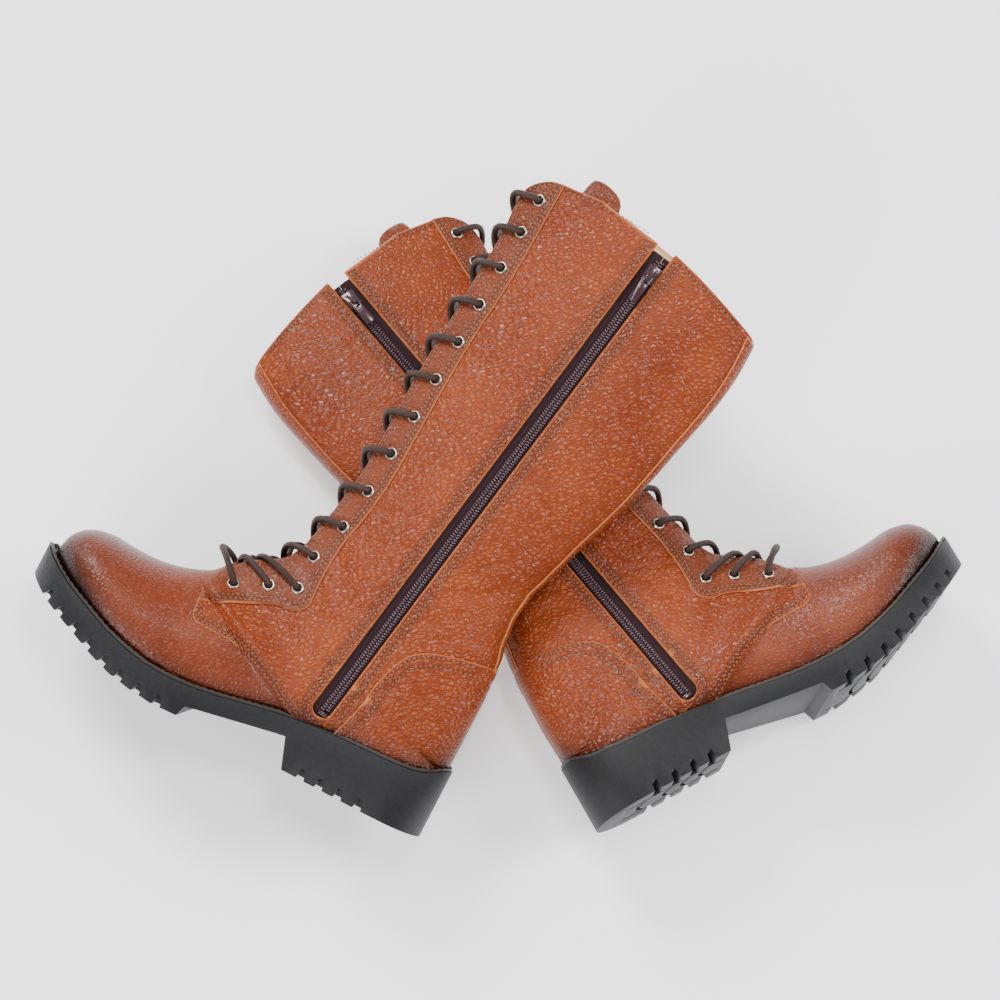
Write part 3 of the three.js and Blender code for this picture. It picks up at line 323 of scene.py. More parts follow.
def skin_normal(s, psi):
    s, psi = np.broadcast_arrays(np.asarray(s, float), np.asarray(psi, float))
    step, turn_step = 0.02, 0.01
    ahead = np.where((s <= foot_rib) & (s + step > foot_rib), s, s + step)
    lengthways = skin(ahead, psi) - skin(s - step, psi)
    across = skin(s, np.minimum(psi + turn_step, 1)) - skin(s, np.maximum(psi - turn_step, -1))
    closed = (s <= foot_rib) & (np.abs(psi) > 1 - turn_step)
    across[closed] = np.stack([0 * psi, -np.sign(psi), 0 * psi], -1)[closed]
    normal = np.cross(lengthways, across)
    normal /= np.maximum(np.linalg.norm(normal, axis=-1, keepdims=True), 1e-9)
    r = rib_at(s)
    middle = np.stack([(r[..., 0] + r[..., 2]) / 2, r[..., 5], (r[..., 1] + r[..., 3]) / 2], -1)
    flip = np.sum(normal * (skin(s, psi) - middle), -1) < 0
    normal[flip] *= -1
    return normal


def find_rib(points):
    """Rib whose line in the side view passes through each point."""
    points = np.asarray(points, float)
    low, high = np.zeros(len(points)), np.full(len(points), len(ribs) - 1.0)

    def miss(s):
        r = rib_at(s)
        return cross2(points - r[:, 0:2], r[:, 2:4] - r[:, 0:2])
    base = miss(low)
    for _ in range(26):
        middle = (low + high) / 2
        now = miss(middle)
        before = base * now <= 0
        high = np.where(before, middle, high)
        low = np.where(before, low, middle)
        base = np.where(before, base, now)
    return low


def share_on(s, points):
    r = rib_at(s)
    chord = r[:, 2:4] - r[:, 0:2]
    return np.sum((np.asarray(points) - r[:, 0:2]) * chord, -1) / np.sum(chord ** 2, -1), r


def locate(points):
    """Rib and psi under points of the side view."""
    s = find_rib(points)
    share, r = share_on(s, points)
    turned = np.arccos(np.clip(1 - share * (1 - np.cos(r[:, 7])), -1, 1))
    return np.column_stack([s, np.clip(turned / r[:, 7], 0, 1)])


def chart(places):
    """Flat chart of the half upper, in millimetres: even round the ribs."""
    r = rib_at(places[:, 0])
    return r[:, 0:2] + (r[:, 2:4] - r[:, 0:2]) * places[:, 1:2]


def unchart(points):
    s = find_rib(points)
    share, _ = share_on(s, points)
    return np.column_stack([s, np.clip(share, 0, 1)])


def soft_noise(points, size, seed):
    """Smooth random relief between -1 and 1, with hills of about the given size."""
    lattice = np.random.default_rng(seed).uniform(-1, 1, (24, 24, 24))
    scaled = np.asarray(points, float) / np.asarray(size, float) + 100.0
    cell = np.floor(scaled).astype(int)
    t = scaled - cell
    t = t * t * (3 - 2 * t)
    value = np.zeros(len(scaled))
    for corner in np.ndindex(2, 2, 2):
        weight = np.prod(np.where(np.array(corner), t, 1 - t), -1)
        i, j, k = ((cell + corner) % 24).T
        value += weight * lattice[i, j, k]
    return value


def distance_to(path, points, closed=False):
    """Distance of points from a line of points, in the side view or the chart."""
    path = np.asarray(path, float)
    starts = path if closed else path[:-1]
    ends = np.roll(path, -1, 0) if closed else path[1:]
    best = np.full(len(points), 1e9)
    for a, b in zip(starts, ends):
        way = b - a
        t = np.clip(((points - a) @ way) / max(way @ way, 1e-12), 0, 1)
        best = np.minimum(best, np.linalg.norm(points - a - t[:, None] * way, axis=1))
    return best


def from_zip(flat):
    """Signed distance of side-view points from the zip's line, positive in front."""
    way = zip_way / np.linalg.norm(zip_way)
    return (flat - zip_foot) @ np.array([way[1], -way[0]])


# Folds pressed into the leather at the ankle and the back seam: ends in the side view,
# depth and half width.
folds = [
    ((8, 176), (52, 150), -1.3, 5.5), ((12, 160), (62, 128), -0.9, 4.5), ((20, 200), (44, 170), -0.8, 4.0),
    ((36, 190), (58, 206), -0.6, 4.0), ((128, 142), (104, 118), -0.8, 4.5),
    ((140, 122), (112, 96), -0.9, 5.0),
    ((148, 104), (128, 80), -0.7, 5.0), ((10, 142), (40, 140), -0.6, 3.5), ((52, 232), (20, 214), -0.7, 5.0),
]


def relief(points, places, boot):
    """Height of the worn leather over the plain shape: slack hollows, folds and creases."""
    flat = points[:, [0, 2]]
    seed = boot["seed"]
    over_sole = points[:, 2] - along(sole_top, points[:, 0])
    calm = smooth_step(over_sole, 4, 30)
    zip_side = places[:, 1] > 0
    calm_zip = np.where(zip_side, smooth_step(np.abs(from_zip(flat)), 9, 24), 1)
    shaft = smooth_step(points[:, 2], 90, 170)
    height = 1.1 * shaft * soft_noise(points, (46, 60, 62), seed)
    height += 0.35 * soft_noise(points, (17, 30, 19), seed + 1)
    ankle = np.exp(-((points[:, 2] - 138) / 46) ** 2) * smooth_step(190 - points[:, 0], 0, 40)
    ripple = soft_noise(points @ np.array([[1, 0, 0.25], [0, 1, 0], [-0.2, 0, 1]]), (24, 30, 6.5), seed + 2)
    height += 0.75 * ankle * (0.5 - np.abs(ripple)) * 1.6
    ripple = soft_noise(points, (7, 30, 26), seed + 3)
    height += 0.16 * (1 - ankle) * ripple
    for start, end, depth, width in folds:
        gap = distance_to([start, end], flat)
        height += 1.6 * depth * np.exp(-(gap / width) ** 2) * (1 - 0.35 * np.exp(-(gap / (width * 2.2)) ** 2))
    return height * calm * calm_zip * np.where(points[:, 0] > 205, 0.25, 1)


def surface(s, psi, height, boot):
    """Points over the worn skin."""
    s, psi, height = np.broadcast_arrays(
        np.asarray(s, float), np.asarray(psi, float), np.asarray(height, float))
    s, psi, height = s.ravel(), psi.ravel(), height.ravel()
    base = skin(s, psi)
    worn = relief(base, np.column_stack([s, psi]), boot)
    return base + skin_normal(s, psi) * (height + worn)[:, None]


def smooth_path(points, step=1.6):
    """Even points on a smooth line through a few."""
    points = np.asarray(points, float)
    if len(points) == 2:
        count = max(int(np.ceil(np.linalg.norm(points[1] - points[0]) / step)), 1)
        return points[0] + np.linspace(0, 1, count + 1)[:, None] * (points[1] - points[0])
    padded = np.vstack([2 * points[0] - points[1], points, 2 * points[-1] - points[-2]])
    dense = [points[0]]
    for i in range(1, len(padded) - 2):
        a, b, c, d = padded[i - 1:i + 3]
        ta, tb, tc = (np.linalg.norm(q - p) ** 0.5 for p, q in ((a, b), (b, c), (c, d)))
        m1 = (c - b) + tb * ((b - a) / ta - (c - a) / (ta + tb))
        m2 = (c - b) + tb * ((d - c) / tc - (d - b) / (tb + tc))
        for t in np.linspace(0, 1, 25)[1:]:
            dense.append(b * (2 * t ** 3 - 3 * t ** 2 + 1) + m1 * (t ** 3 - 2 * t ** 2 + t)
                         + c * (3 * t ** 2 - 2 * t ** 3) + m2 * (t ** 3 - t ** 2))
    return resample(np.array(dense), step)


def resample(points, step):
    lengths = np.concatenate([[0], np.cumsum(np.linalg.norm(np.diff(points, axis=0), axis=1))])
    count = max(int(round(lengths[-1] / step)), 1)
    stops = np.linspace(0, lengths[-1], count + 1)
    return np.column_stack([np.interp(stops, lengths, points[:, k]) for k in range(points.shape[1])])


def shifted(points, distance):
    """A line moved sideways, to its left for a positive distance."""
    points = np.asarray(points, float)
    way = np.gradient(points, axis=0)
    way /= np.maximum(np.linalg.norm(way, axis=1, keepdims=True), 1e-9)
    return points + distance * np.column_stack([-way[:, 1], way[:, 0]])


# Pattern lines in the side view.
facing_rear = smooth_path([
    (108, 425.4), (110.4, 355), (115.2, 304), (117.6, 245), (119, 204), (122.5, 174), (128.4, 146),
    (129.6, 114),
    (128.8, 103.5), (134, 96.7), (149, 93.5), (168.6, 84.2), (188.3, 75.3), (195.4, 73),
])
facing_tip = smooth_path([(195.4, 73), (195.6, 78.5), (195.4, 84), (192.3, 94.2)])
facing_front = smooth_path([
    (192.3, 94.2), (187.3, 100.4), (177.7, 109.8), (165, 117.6), (155.4, 125.5), (149, 143), (145, 163),
    (139.6, 193.5), (137.8, 223.6), (136.4, 264), (134.2, 304), (132, 344), (130.4, 374), (130.5, 404),
    (128, 414.3), (118.5, 422.7), (108, 425.4),
])
vamp_rear = smooth_path([
    (195.4, 73), (193.6, 64.5), (190, 60.8), (177.6, 60), (162.6, 59.6), (147.3, 55.4), (132, 49.7),
    (116.7, 40.6),
    (101, 31),
])
collar_front = smooth_path([(108, 425.4), (63.5, 427), (32, 423.5)])
collar_rear = smooth_path([(22, 417.5), (2, 411.5), (-20, 403.5), (-42, 394.8), (-49, 391.5)])
collar_outer = smooth_path([(108, 425.4), (63.5, 424), (30, 419), (2, 411.5), (-42, 394.8), (-49, 391.5)])
counter_top = smooth_path([
    (1, 121.6), (20, 118.7), (39.8, 113.8), (52.5, 107.5), (59.2, 99), (65.4, 81.7), (69.4, 58.5),
    (76.4, 36.2),
])


def beside_zip(distance, low, high):
    """Line beside the zip between two heights over the ground, from the top down."""
    way = zip_way / np.linalg.norm(zip_way)
    start = zip_foot + np.array([way[1], -way[0]]) * distance
    return smooth_path([start + way * ((z - start[1]) / way[1]) for z in (high, low)])


def on_edge(s_from, s_to, psi):
    """Places along the front line (psi 0) or the back and sole line (psi 1)."""
    count = max(int(abs(s_to - s_from) * 16), 2)
    return np.column_stack([np.linspace(s_from, s_to, count), np.full(count, float(psi))])


def outline_of(*parts):
    """Closed outline in the chart from side-view lines and rows of places, with a mark
    on the stretches that run along the front or the back line."""
    loops, marks = [], []
    for kind, line in parts:
        places = locate(line) if kind == "line" else line
        flat = chart(places)
        if kind == "edge":
            flat = resample(flat, 2.0)
        loops.append(flat[:-1])
        marks.append(np.full(len(flat) - 1, kind == "edge"))
    flat, mark = np.vstack(loops), np.concatenate(marks)
    apart = np.linalg.norm(flat - np.roll(flat, 1, 0), axis=1) > 0.25
    return flat[apart], mark[apart]


def inside(points, loop):
    x, y = points[:, 0], points[:, 1]
    result = np.zeros(len(points), bool)
    for (ax, ay), (bx, by) in zip(loop, np.roll(loop, -1, 0)):
        crosses = (ay > y) != (by > y)
        if ay != by:
            result ^= crosses & (x < (bx - ax) * (y - ay) / (by - ay) + ax)
    return result


def lay_out(outline, mark, spacing, holes, extra=()):
    """Triangles over a piece's outline in the chart, finer along its edge."""
    low, high = outline.min(0), outline.max(0)
    rows = []
    for k, y in enumerate(np.arange(low[1], high[1], spacing * 0.866)):
        xs = np.arange(low[0] + (k % 2) * spacing / 2, high[0], spacing)
        rows.append(np.column_stack([xs, np.full(len(xs), y)]))
    lattice = np.vstack(rows)
    lattice = lattice[inside(lattice, outline)]
    lattice = lattice[distance_to(outline, lattice, closed=True) > 1.9]
    for line in extra:
        lattice = lattice[distance_to(line, lattice) > 1.6]
    points = [lattice]
    area = 0.5 * np.sum(cross2(outline, np.roll(outline, -1, 0)))
    inward = shifted(np.vstack([outline[-1:], outline, outline[:1]]), math.copysign(1, area))[1:-1] - outline
    for depth in (0.5, 1.2):
        ring = (outline + inward * depth)[~mark]
        ring = ring[inside(ring, outline)]
        points.append(ring[distance_to(outline, ring, closed=True) > 0.8 * depth])
    for line in extra:
        for off in (-0.6, 0, 0.6):
            row = shifted(line, off)
            row = row[inside(row, outline)]
            points.append(row[distance_to(outline, row, closed=True) > 1.5])
    edges = []
    points = np.vstack(points)
    for centre, radius in holes:
        points = points[np.linalg.norm(points - centre, axis=1) > radius + 0.9]
    points = np.vstack([outline, points])
    hole_sides = 20
    angles = np.linspace(0, 2 * np.pi, hole_sides, endpoint=False)
    for centre, radius in holes:
        start = len(points)
        points = np.vstack([points, centre + radius * np.column_stack([np.cos(angles), np.sin(angles)]),
                            centre + (radius + 0.5) * np.column_stack([np.cos(angles), np.sin(angles)])])
        edges += [(start + k, start + (k + 1) % hole_sides) for k in range(hole_sides)]
    verts, _, faces, _, _, _ = geometry.delaunay_2d_cdt(
        [Vector(p) for p in points], edges, [list(range(len(outline)))], 1, 1e-4)
    verts = np.array([v[:] for v in verts])
    faces = np.array([f for f in faces if len(f) == 3])
    middles = verts[faces].mean(1)
    for centre, radius in holes:
        away = np.linalg.norm(middles - centre, axis=1) > radius
        faces, middles = faces[away], middles[away]
    used = np.unique(faces)
    renumber = np.zeros(len(verts), int)
    renumber[used] = np.arange(len(used))
    return verts[used], renumber[faces]


def burnish(points):
    """How far the finish is darkened: along the sole's edge, at the toe and the heel."""
    over_sole = points[:, 2] - along(sole_top, points[:, 0])
    toe = smooth_step(points[:, 0], 215, 292)
    heel = smooth_step(40 - points[:, 0], 0, 40) * smooth_step(95 - points[:, 2], 0, 45)
    edge = np.exp(-(np.maximum(over_sole, 0) / 9) ** 1.3)
    return np.clip(0.85 * edge + toe * (0.25 + 0.55 * np.exp(-(np.maximum(over_sole, 0) / 26) ** 2))
                   + 0.35 * heel, 0, 1)


def panel(name, side, outline, mark, height, thick, materials, nodes, slot, spacing=2.3, holes=(), lift=None,
          sides=(1,), rows=(), raw=True, groove=0.28):
    """Leather piece cut to an outline and laid over the skin. side is the boot's side,
    and two sides make one piece across the front or the back line."""
    flat, triangles = lay_out(outline, mark, spacing, holes, rows)
    places = unchart(flat)
    loop = np.vstack([outline, outline[:1]])
    free = [loop[i:i + 2] for i in range(len(outline)) if not (mark[i] and mark[(i + 1) % len(mark)])]
    gap = np.full(len(flat), 1e9)
    for segment in free:
        gap = np.minimum(gap, distance_to(segment, flat))
    for centre, radius in holes:
        gap = np.minimum(gap, np.abs(np.linalg.norm(flat - centre, axis=1) - radius))
    rounding = 0.7
    drop = rounding - np.sqrt(np.maximum(rounding ** 2 - (rounding - np.minimum(gap, rounding)) ** 2, 0))
    dent = np.zeros(len(flat))
    for row in rows:
        dent = np.maximum(dent, np.exp(-(distance_to(row, flat) / 0.6) ** 2))
    base = skin(places[:, 0], places[:, 1])
    rise = lift(base[:, [0, 2]]) if lift else np.zeros(len(flat))
    pairs = np.sort(np.vstack([triangles[:, [0, 1]], triangles[:, [1, 2]], triangles[:, [2, 0]]]), 1)
    keys, counts = np.unique(pairs, axis=0, return_counts=True)
    border = keys[counts == 1]
    edge_s = np.ones(len(border), bool)
    if len(sides) == 2:
        joined = ((places[:, 1] < 0.0015) if sides[0] == 0
                  else (places[:, 1] > 0.9985) & (places[:, 0] < foot_rib + 0.02))
        edge_s = ~(joined[border[:, 0]] & joined[border[:, 1]])
    for boot_name, boot in boots.items():
        all_points, all_faces, indices, shade, light, seam = [], [], [], [], [], []
        for way in ([1, -1] if len(sides) == 2 else [side]):
            psi = places[:, 1] * way
            if len(sides) == 2 and sides[0] == 0:
                psi = np.where(joined, 0, psi)
            top = surface(places[:, 0], psi, height + rise - drop - groove * dent, boot)
            under = surface(places[:, 0], psi, height + rise - thick, boot)
            start = sum(len(p) for p in all_points)
            count = len(flat)
            all_points += [top, under]
            all_faces += (triangles + start).tolist() + (triangles[:, ::-1] + start + count).tolist()
            indices += [0] * len(triangles) + [2] * len(triangles)
            rim = border[edge_s]
            all_faces += [(a + start, b + start, b + start + count, a + start + count)
                          for a, b in rim.tolist()]
            indices += [1] * len(rim)
            shade += [burnish(base)] * 2
            light += [np.clip(1 - gap / 0.55, 0, 1) if raw else np.zeros(count)] * 2
            # The seam mask also drives the painted shade along the stitch grooves in the leather's colour.
            seam += [dent] * 2
        make_piece(name, boot_name, np.vstack(all_points), all_faces, materials, indices,
                   {"burnish": np.concatenate(shade), "raw_edge": np.concatenate(light),
                    "seam": np.concatenate(seam)},
                   None, nodes, slot)


# -------------------------------------------------------------------------- leather
# Oil-finished pebbled cowhide: full grain with pebbles of about 3 mm, a soft shine on top
# of each, painted shade darkening the valleys between them, and burnished where it meets the sole.
def leather_material(name, tan, deep, burnt, grain_size, grain_depth, gloss):
    material, shader = new_material(name, {"Roughness": 0.42, "Specular IOR Level": 0.36, "IOR": 1.46})
    place = add_node(material, "TexCoord").outputs["Object"]
    drawn = add_node(material, "Mapping", None, {"Vector": place, "Scale": (0.82, 1.2, 1.0)})
    warp = add_node(material, "TexNoise", None, {"Vector": drawn.outputs[0], "Scale": 130.0, "Detail": 1.0})
    bent = add_node(material, "MixRGB", {"blend_type": "LINEAR_LIGHT"},
                    {"Fac": 0.0010, "Color1": drawn.outputs[0], "Color2": warp.outputs["Color"]})
    per_metre = 1000 / grain_size
    cells = add_node(material, "TexVoronoi", {"feature": "DISTANCE_TO_EDGE"},
                     {"Vector": bent.outputs[0], "Scale": per_metre, "Randomness": 1.0})
    fine = add_node(material, "TexVoronoi", {"feature": "SMOOTH_F1"},
                    {"Vector": bent.outputs[0], "Scale": per_metre * 1.9, "Smoothness": 0.6})
    pebble = add_node(material, "MapRange", {"interpolation_type": "SMOOTHSTEP"},
                      {"Value": cells.outputs["Distance"], "From Max": 0.40})
    rough_grain = add_node(material, "Math", {"operation": "MULTIPLY_ADD"},
                           {0: fine.outputs["Distance"], 1: -0.1, 2: pebble.outputs[0]})
    large = add_node(material, "TexNoise", None,
                     {"Vector": place, "Scale": 16.0, "Detail": 4.0, "Roughness": 0.55})
    patch = add_node(material, "MapRange", None,
                     {"Value": large.outputs["Fac"], "From Min": 0.32, "From Max": 0.7})
    base = add_node(material, "MixRGB", None,
                    {"Fac": patch.outputs[0], "Color1": linear(deep), "Color2": linear(tan)})
    # Painted shade: the colour is multiplied darker in the grain's valleys, between the pebbles.
    valley_shade_amount = add_node(material, "MapRange", None,
                      {"Value": pebble.outputs[0], "To Min": 0.62 * grain_depth, "To Max": 0.0})
    valley_shaded = add_node(material, "MixRGB", {"blend_type": "MULTIPLY"},
                      {"Fac": valley_shade_amount.outputs[0], "Color1": base.outputs[0], "Color2": linear("#8a5038")})
    # Painted shade: the leather turns deep brown along the sunk stitch grooves, following the seam mask.
    groove_shade_mark = add_node(material, "Attribute", {"attribute_name": "seam"})
    groove_shaded = add_node(material, "MixRGB", None,
                       {"Fac": groove_shade_mark.outputs["Fac"], "Color1": valley_shaded.outputs[0],
                        "Color2": linear("#3f1d10")})
    burnish_mark = add_node(material, "Attribute", {"attribute_name": "burnish"})
    uneven = add_node(material, "MixRGB", {"blend_type": "OVERLAY"},
                      {"Fac": 0.5, "Color1": burnish_mark.outputs["Color"], "Color2": large.outputs["Color"]})
    toned = add_node(material, "MixRGB", None,
                     {"Fac": uneven.outputs[0], "Color1": groove_shaded.outputs[0], "Color2": linear(burnt)})
    cut = add_node(material, "Attribute", {"attribute_name": "raw_edge"})
    edged = add_node(material, "MixRGB", None,
                     {"Fac": cut.outputs["Fac"], "Color1": toned.outputs[0], "Color2": linear("#c9733c")})
    plug(material, shader, "Base Color", edged.outputs[0])
    shine = add_node(material, "MapRange", None,
                     {"Value": large.outputs["Fac"], "From Min": 0.3, "From Max": 0.7,
                      "To Min": gloss - 0.06, "To Max": gloss + 0.08})
    plug(material, shader, "Roughness", shine.outputs[0])
    bump = add_node(material, "Bump", None, {"Strength": grain_depth, "Distance": 0.0005,
                                             "Height": rough_grain.outputs[0]})
    plug(material, shader, "Normal", bump.outputs["Normal"])
    return material


shaft_leather = leather_material("cowhide_pebbled_tan", "#a34a14", "#8a390f", "#331206", 3.1, 0.95, 0.33)
vamp_leather = leather_material("cowhide_smooth_chestnut", "#8c3e18", "#712d11", "#1c0904", 2.8, 0.5, 0.36)
facing_leather = leather_material("cowhide_pebbled_brown", "#8a4019", "#743312", "#331206", 2.7, 0.7, 0.4)

# Raw cut edge and flesh side: undyed fibre, matt.
edge_leather, _ = mottled("cowhide_raw_edge", {"Roughness": 0.75}, 900.0, 3.0, "#a35a34", "#dd9a6c")
flesh_leather, _ = mottled("cowhide_flesh_side", {"Roughness": 0.9}, 500.0, 4.0, "#b9875f", "#d8ad84")


def side_rib(value, column, psi):
    """Rib whose front (psi 0) or back (psi 1) point reaches a coordinate."""
    line = rib_table[:, column]
    low = 0 if psi == 0 else np.searchsorted(rib_stops, foot_rib)
    return float(np.interp(value, line[low:], rib_stops[low:]))


def back_rib(line):
    """Rib at which a line of the side view meets the back or the sole's edge."""
    return float(locate(np.asarray(line)[-1:])[0, 0])


zip_slot_front, zip_slot_rear, zip_foot_round = 8.5, 4.8, 1.2
zip_dir = zip_way / np.linalg.norm(zip_way)
zip_side_dir = np.array([zip_dir[1], -zip_dir[0]])


def zip_point(across, along_zip):
    return zip_foot + zip_side_dir * across + zip_dir * along_zip


def round_foot(front, rear):
    """U-shaped line round the zip's foot, from its front side to its rear side."""
    angles = np.radians(np.linspace(0, 180, 15))
    middle, reach = (front - rear) / 2, (front + rear) / 2
    return np.array([zip_point(middle + reach * math.cos(a), zip_foot_round - reach * math.sin(a))
                     for a in angles])


front_edge = beside_zip(zip_slot_front, zip_point(zip_slot_front, zip_foot_round)[1], 422)
rear_low = beside_zip(-zip_slot_rear, 37.5, zip_point(-zip_slot_rear, zip_foot_round)[1])
rear_edge = beside_zip(-zip_slot_rear, 37.5, 417.6)
under_facing = shifted(facing_rear, 1.6)
under_quarter = shifted(vamp_rear, -2.5)
s_vamp, s_zip_sole = back_rib(vamp_rear), back_rib(rear_edge)
s_counter = back_rib(counter_top)
s_under = back_rib(under_quarter)
s_collar_back = back_rib(collar_rear)
throat = side_rib(186, 0, 0)

vamp_outline = outline_of(
    ("edge", on_edge(throat, 21, 0)), ("edge", on_edge(21, s_under, 1)),
    ("line", under_quarter[::-1]),
    ("line", np.array([under_quarter[0], [189.5, 84], [186.5, 95], rib_at(throat)[:2]])),
)
quarter_outline = outline_of(
    ("line", collar_front), ("line", np.array([collar_front[-1], front_edge[0]])),
    ("line", front_edge), ("line", round_foot(zip_slot_front, zip_slot_rear)), ("line", rear_low),
    ("edge", on_edge(s_zip_sole, s_vamp, 1)), ("line", vamp_rear[::-1]), ("line", under_facing[::-1]),
)
rear_outline = outline_of(
    ("line", collar_rear), ("edge", on_edge(s_collar_back, s_zip_sole, 1)), ("line", rear_edge[::-1]),
)
outer_outline = outline_of(
    ("line", collar_outer), ("edge", on_edge(s_collar_back, s_vamp, 1)), ("line", vamp_rear[::-1]),
    ("line", under_facing[::-1]),
)
s_counter_back = float(np.interp(-121.6, -rib_table[:, 3][:500], rib_stops[:500]))
counter_outline = outline_of(
    ("line", counter_top[3:]), ("edge", on_edge(s_counter, s_counter_back, 1)),
)


def width_psi(s, half):
    r = rib_at(s)
    return np.minimum((np.pi - np.arcsin(np.minimum(half / r[..., 4], 1) ** (1 / r[..., 6]))) / r[..., 7], 1)


strip_half, strip_foot = 10.5, 6
counter_height, strip_height = 1.8, 1.4
strip_s = np.linspace(s_collar_back, strip_foot, 90)
strip_outline = outline_of(
    ("rows", np.column_stack([strip_s, width_psi(strip_s, strip_half)])),
    ("rows", np.array([[strip_foot, width_psi(float(strip_foot), strip_half)], [strip_foot, 1]])),
    ("edge", on_edge(strip_foot, s_collar_back, 1)),
)
facing_outline = outline_of(("line", facing_rear), ("line", facing_tip), ("line", facing_front))

eyelets = np.array([
    [180, 91.7], [158.8, 102.4], [140.6, 109.5], [140.7, 132.4], [133, 158.8], [129.2, 187], [127, 215.8],
    [124.9, 244.3], [123.5, 272.6], [122, 301.2], [121, 329.5], [119.8, 357.6], [119, 384.6], [118, 408.5],
])
eyelet_places = locate(eyelets)
facing_top = 1.8


def lap_lift(flat):
    """The quarters' front edge climbs over the vamp."""
    return 1.5 * np.exp(-(distance_to(vamp_rear, flat) / 9) ** 2)


def chart_rows(lines):
    return [resample(chart(locate(line)), 1.4) for line in lines]


zip_front_rows = [np.vstack([beside_zip(zip_slot_front + d,
                                        zip_point(zip_slot_front + d, zip_foot_round)[1], 417),
                             round_foot(zip_slot_front + d, zip_slot_rear + d)[1:8]]) for d in (3.0, 6.5)]
zip_rear_rows = [np.vstack([beside_zip(-zip_slot_rear - d, zip_point(0, zip_foot_round)[1], 412)])
                 for d in (3.0, 6.5)]
quarter_lap_rows = [shifted(vamp_rear, -d)[3:-3] for d in (2.0, 5.0)]
collar_rows = {"front": shifted(collar_front, 3.2)[2:-6], "rear": shifted(collar_rear, 3.2)[5:-9],
               "outer": shifted(collar_outer, 5.0)[2:-10]}
counter_rows = [shifted(counter_top, -2.2)[9:-3], shifted(counter_top, -8)[9:-4]]
facing_rows = [shifted(facing_rear, 2.2)[3:-3], shifted(facing_rear, 4.8)[3:-8],
               shifted(facing_front, 2.4)[6:-3]]

# Zip-side quarter: pebbled leather, skived along the zip and sewn in two rows.
panel("quarter_zip_side", 1, *quarter_outline, 0.0, leather, (shaft_leather, edge_leather, flesh_leather),
      ("quarter_zip_side",), "tan_leather", lift=lap_lift,
      rows=chart_rows(zip_front_rows + quarter_lap_rows + [collar_rows["front"]]))
# Rear panel: pebbled leather between the zip and the back seam.
panel("rear_panel", 1, *rear_outline, 0.0, leather, (shaft_leather, edge_leather, flesh_leather),
      ("rear_panel",), "tan_leather", rows=chart_rows(zip_rear_rows + [collar_rows["rear"]]))
# Outer quarter: one piece of pebbled leather from the facing to the back seam.
panel("quarter_outer_side", -1, *outer_outline, 0.0, leather, (shaft_leather, edge_leather, flesh_leather),
      ("quarter_outer_side",), "tan_leather", lift=lap_lift,
      rows=chart_rows(quarter_lap_rows + [collar_rows["outer"]]))
# Vamp: smooth leather lasted over the forefoot and the toe, in one piece.
panel("vamp", 1, *vamp_outline, 0.0, leather, (vamp_leather, edge_leather, flesh_leather),
      ("vamp",), "tan_leather", sides=(0, 1), raw=False)
# Heel counter cover: leather wrapped round the heel, over the stiffener.
panel("heel_counter_cover", 1, *counter_outline, counter_height, 1.5,
      (shaft_leather, edge_leather, flesh_leather),
      ("heel_counter_cover",), "tan_leather", sides=(1, 0), rows=chart_rows(counter_rows))
# Back strip: narrow leather that covers the back seam.
panel("back_strip", 1, *strip_outline, strip_height, 1.4, (shaft_leather, edge_leather, flesh_leather),
      ("back_strip",), "tan_leather", sides=(1, 0))
# Facings: leather strips along the opening, punched for the eyelets.
for side_name, side in (("zip_side", 1), ("outer_side", -1)):
    panel(f"facing_{side_name}", side, *facing_outline, facing_top, 1.5,
          (facing_leather, edge_leather, flesh_leather), (f"facing_{side_name}",), "tan_leather", spacing=2.2,
          holes=[(place, 3.4) for place in chart(eyelet_places)], rows=chart_rows(facing_rows))


# ------------------------------------------------------------------------- stitching
# Waxed polyester thread in lockstitch, 3.2 mm to a stitch, sunk into the leather.
thread, thread_shader = new_material("polyester_thread_waxed_brown", {"Roughness": 0.6})
twist = add_node(thread, "TexWave", {"wave_type": "BANDS", "bands_direction": "DIAGONAL"}, {"Scale": 500.0})
thread_mix = add_node(thread, "MixRGB", None, {
    "Fac": twist.outputs["Fac"], "Color1": linear("#864a24"), "Color2": linear("#ad6c3f")})
plug(thread, thread_shader, "Base Color", thread_mix.outputs[0])


def spindle(length, radius, sides=6, flat=0.8):
    """Low rounded rod along x, for what repeats by the hundred."""
    rings = [(-0.5, 0.0), (-0.38, 0.75), (0.0, 1.0), (0.38, 0.75), (0.5, 0.0)]
    points, faces = [(-0.5 * length, 0, 0)], []
    for place, grow in rings[1:-1]:
        for k in range(sides):
            a = 2 * math.pi * k / sides
            points.append((place * length, radius * grow * math.cos(a), flat * radius * grow * math.sin(a)))
    points.append((0.5 * length, 0, 0))
    for k in range(sides):
        nxt = (k + 1) % sides
        faces.append((0, 1 + nxt, 1 + k))
        for ring in range(2):
            a, b = 1 + ring * sides, 1 + (ring + 1) * sides
            faces.append((a + k, a + nxt, b + nxt, b + k))
        last = 1 + 2 * sides
        faces.append((last + k, last + nxt, len(points) - 1))
    return np.array(points, float), faces


def scatter(name, boot_name, template, origins, axes, material, **keys):
    """One piece of many copies of a small shape, each with its own place and axes."""
    points, faces = template
    placed = origins[:, None, :] + np.einsum("pk,nkj->npj", points, axes)
    shift = np.arange(len(origins)) * len(points)
    all_faces = [tuple(v + s for v in face) for s in shift.tolist() for face in faces]
    return make_piece(name, boot_name, placed.reshape(-1, 3), all_faces, [material], **keys)


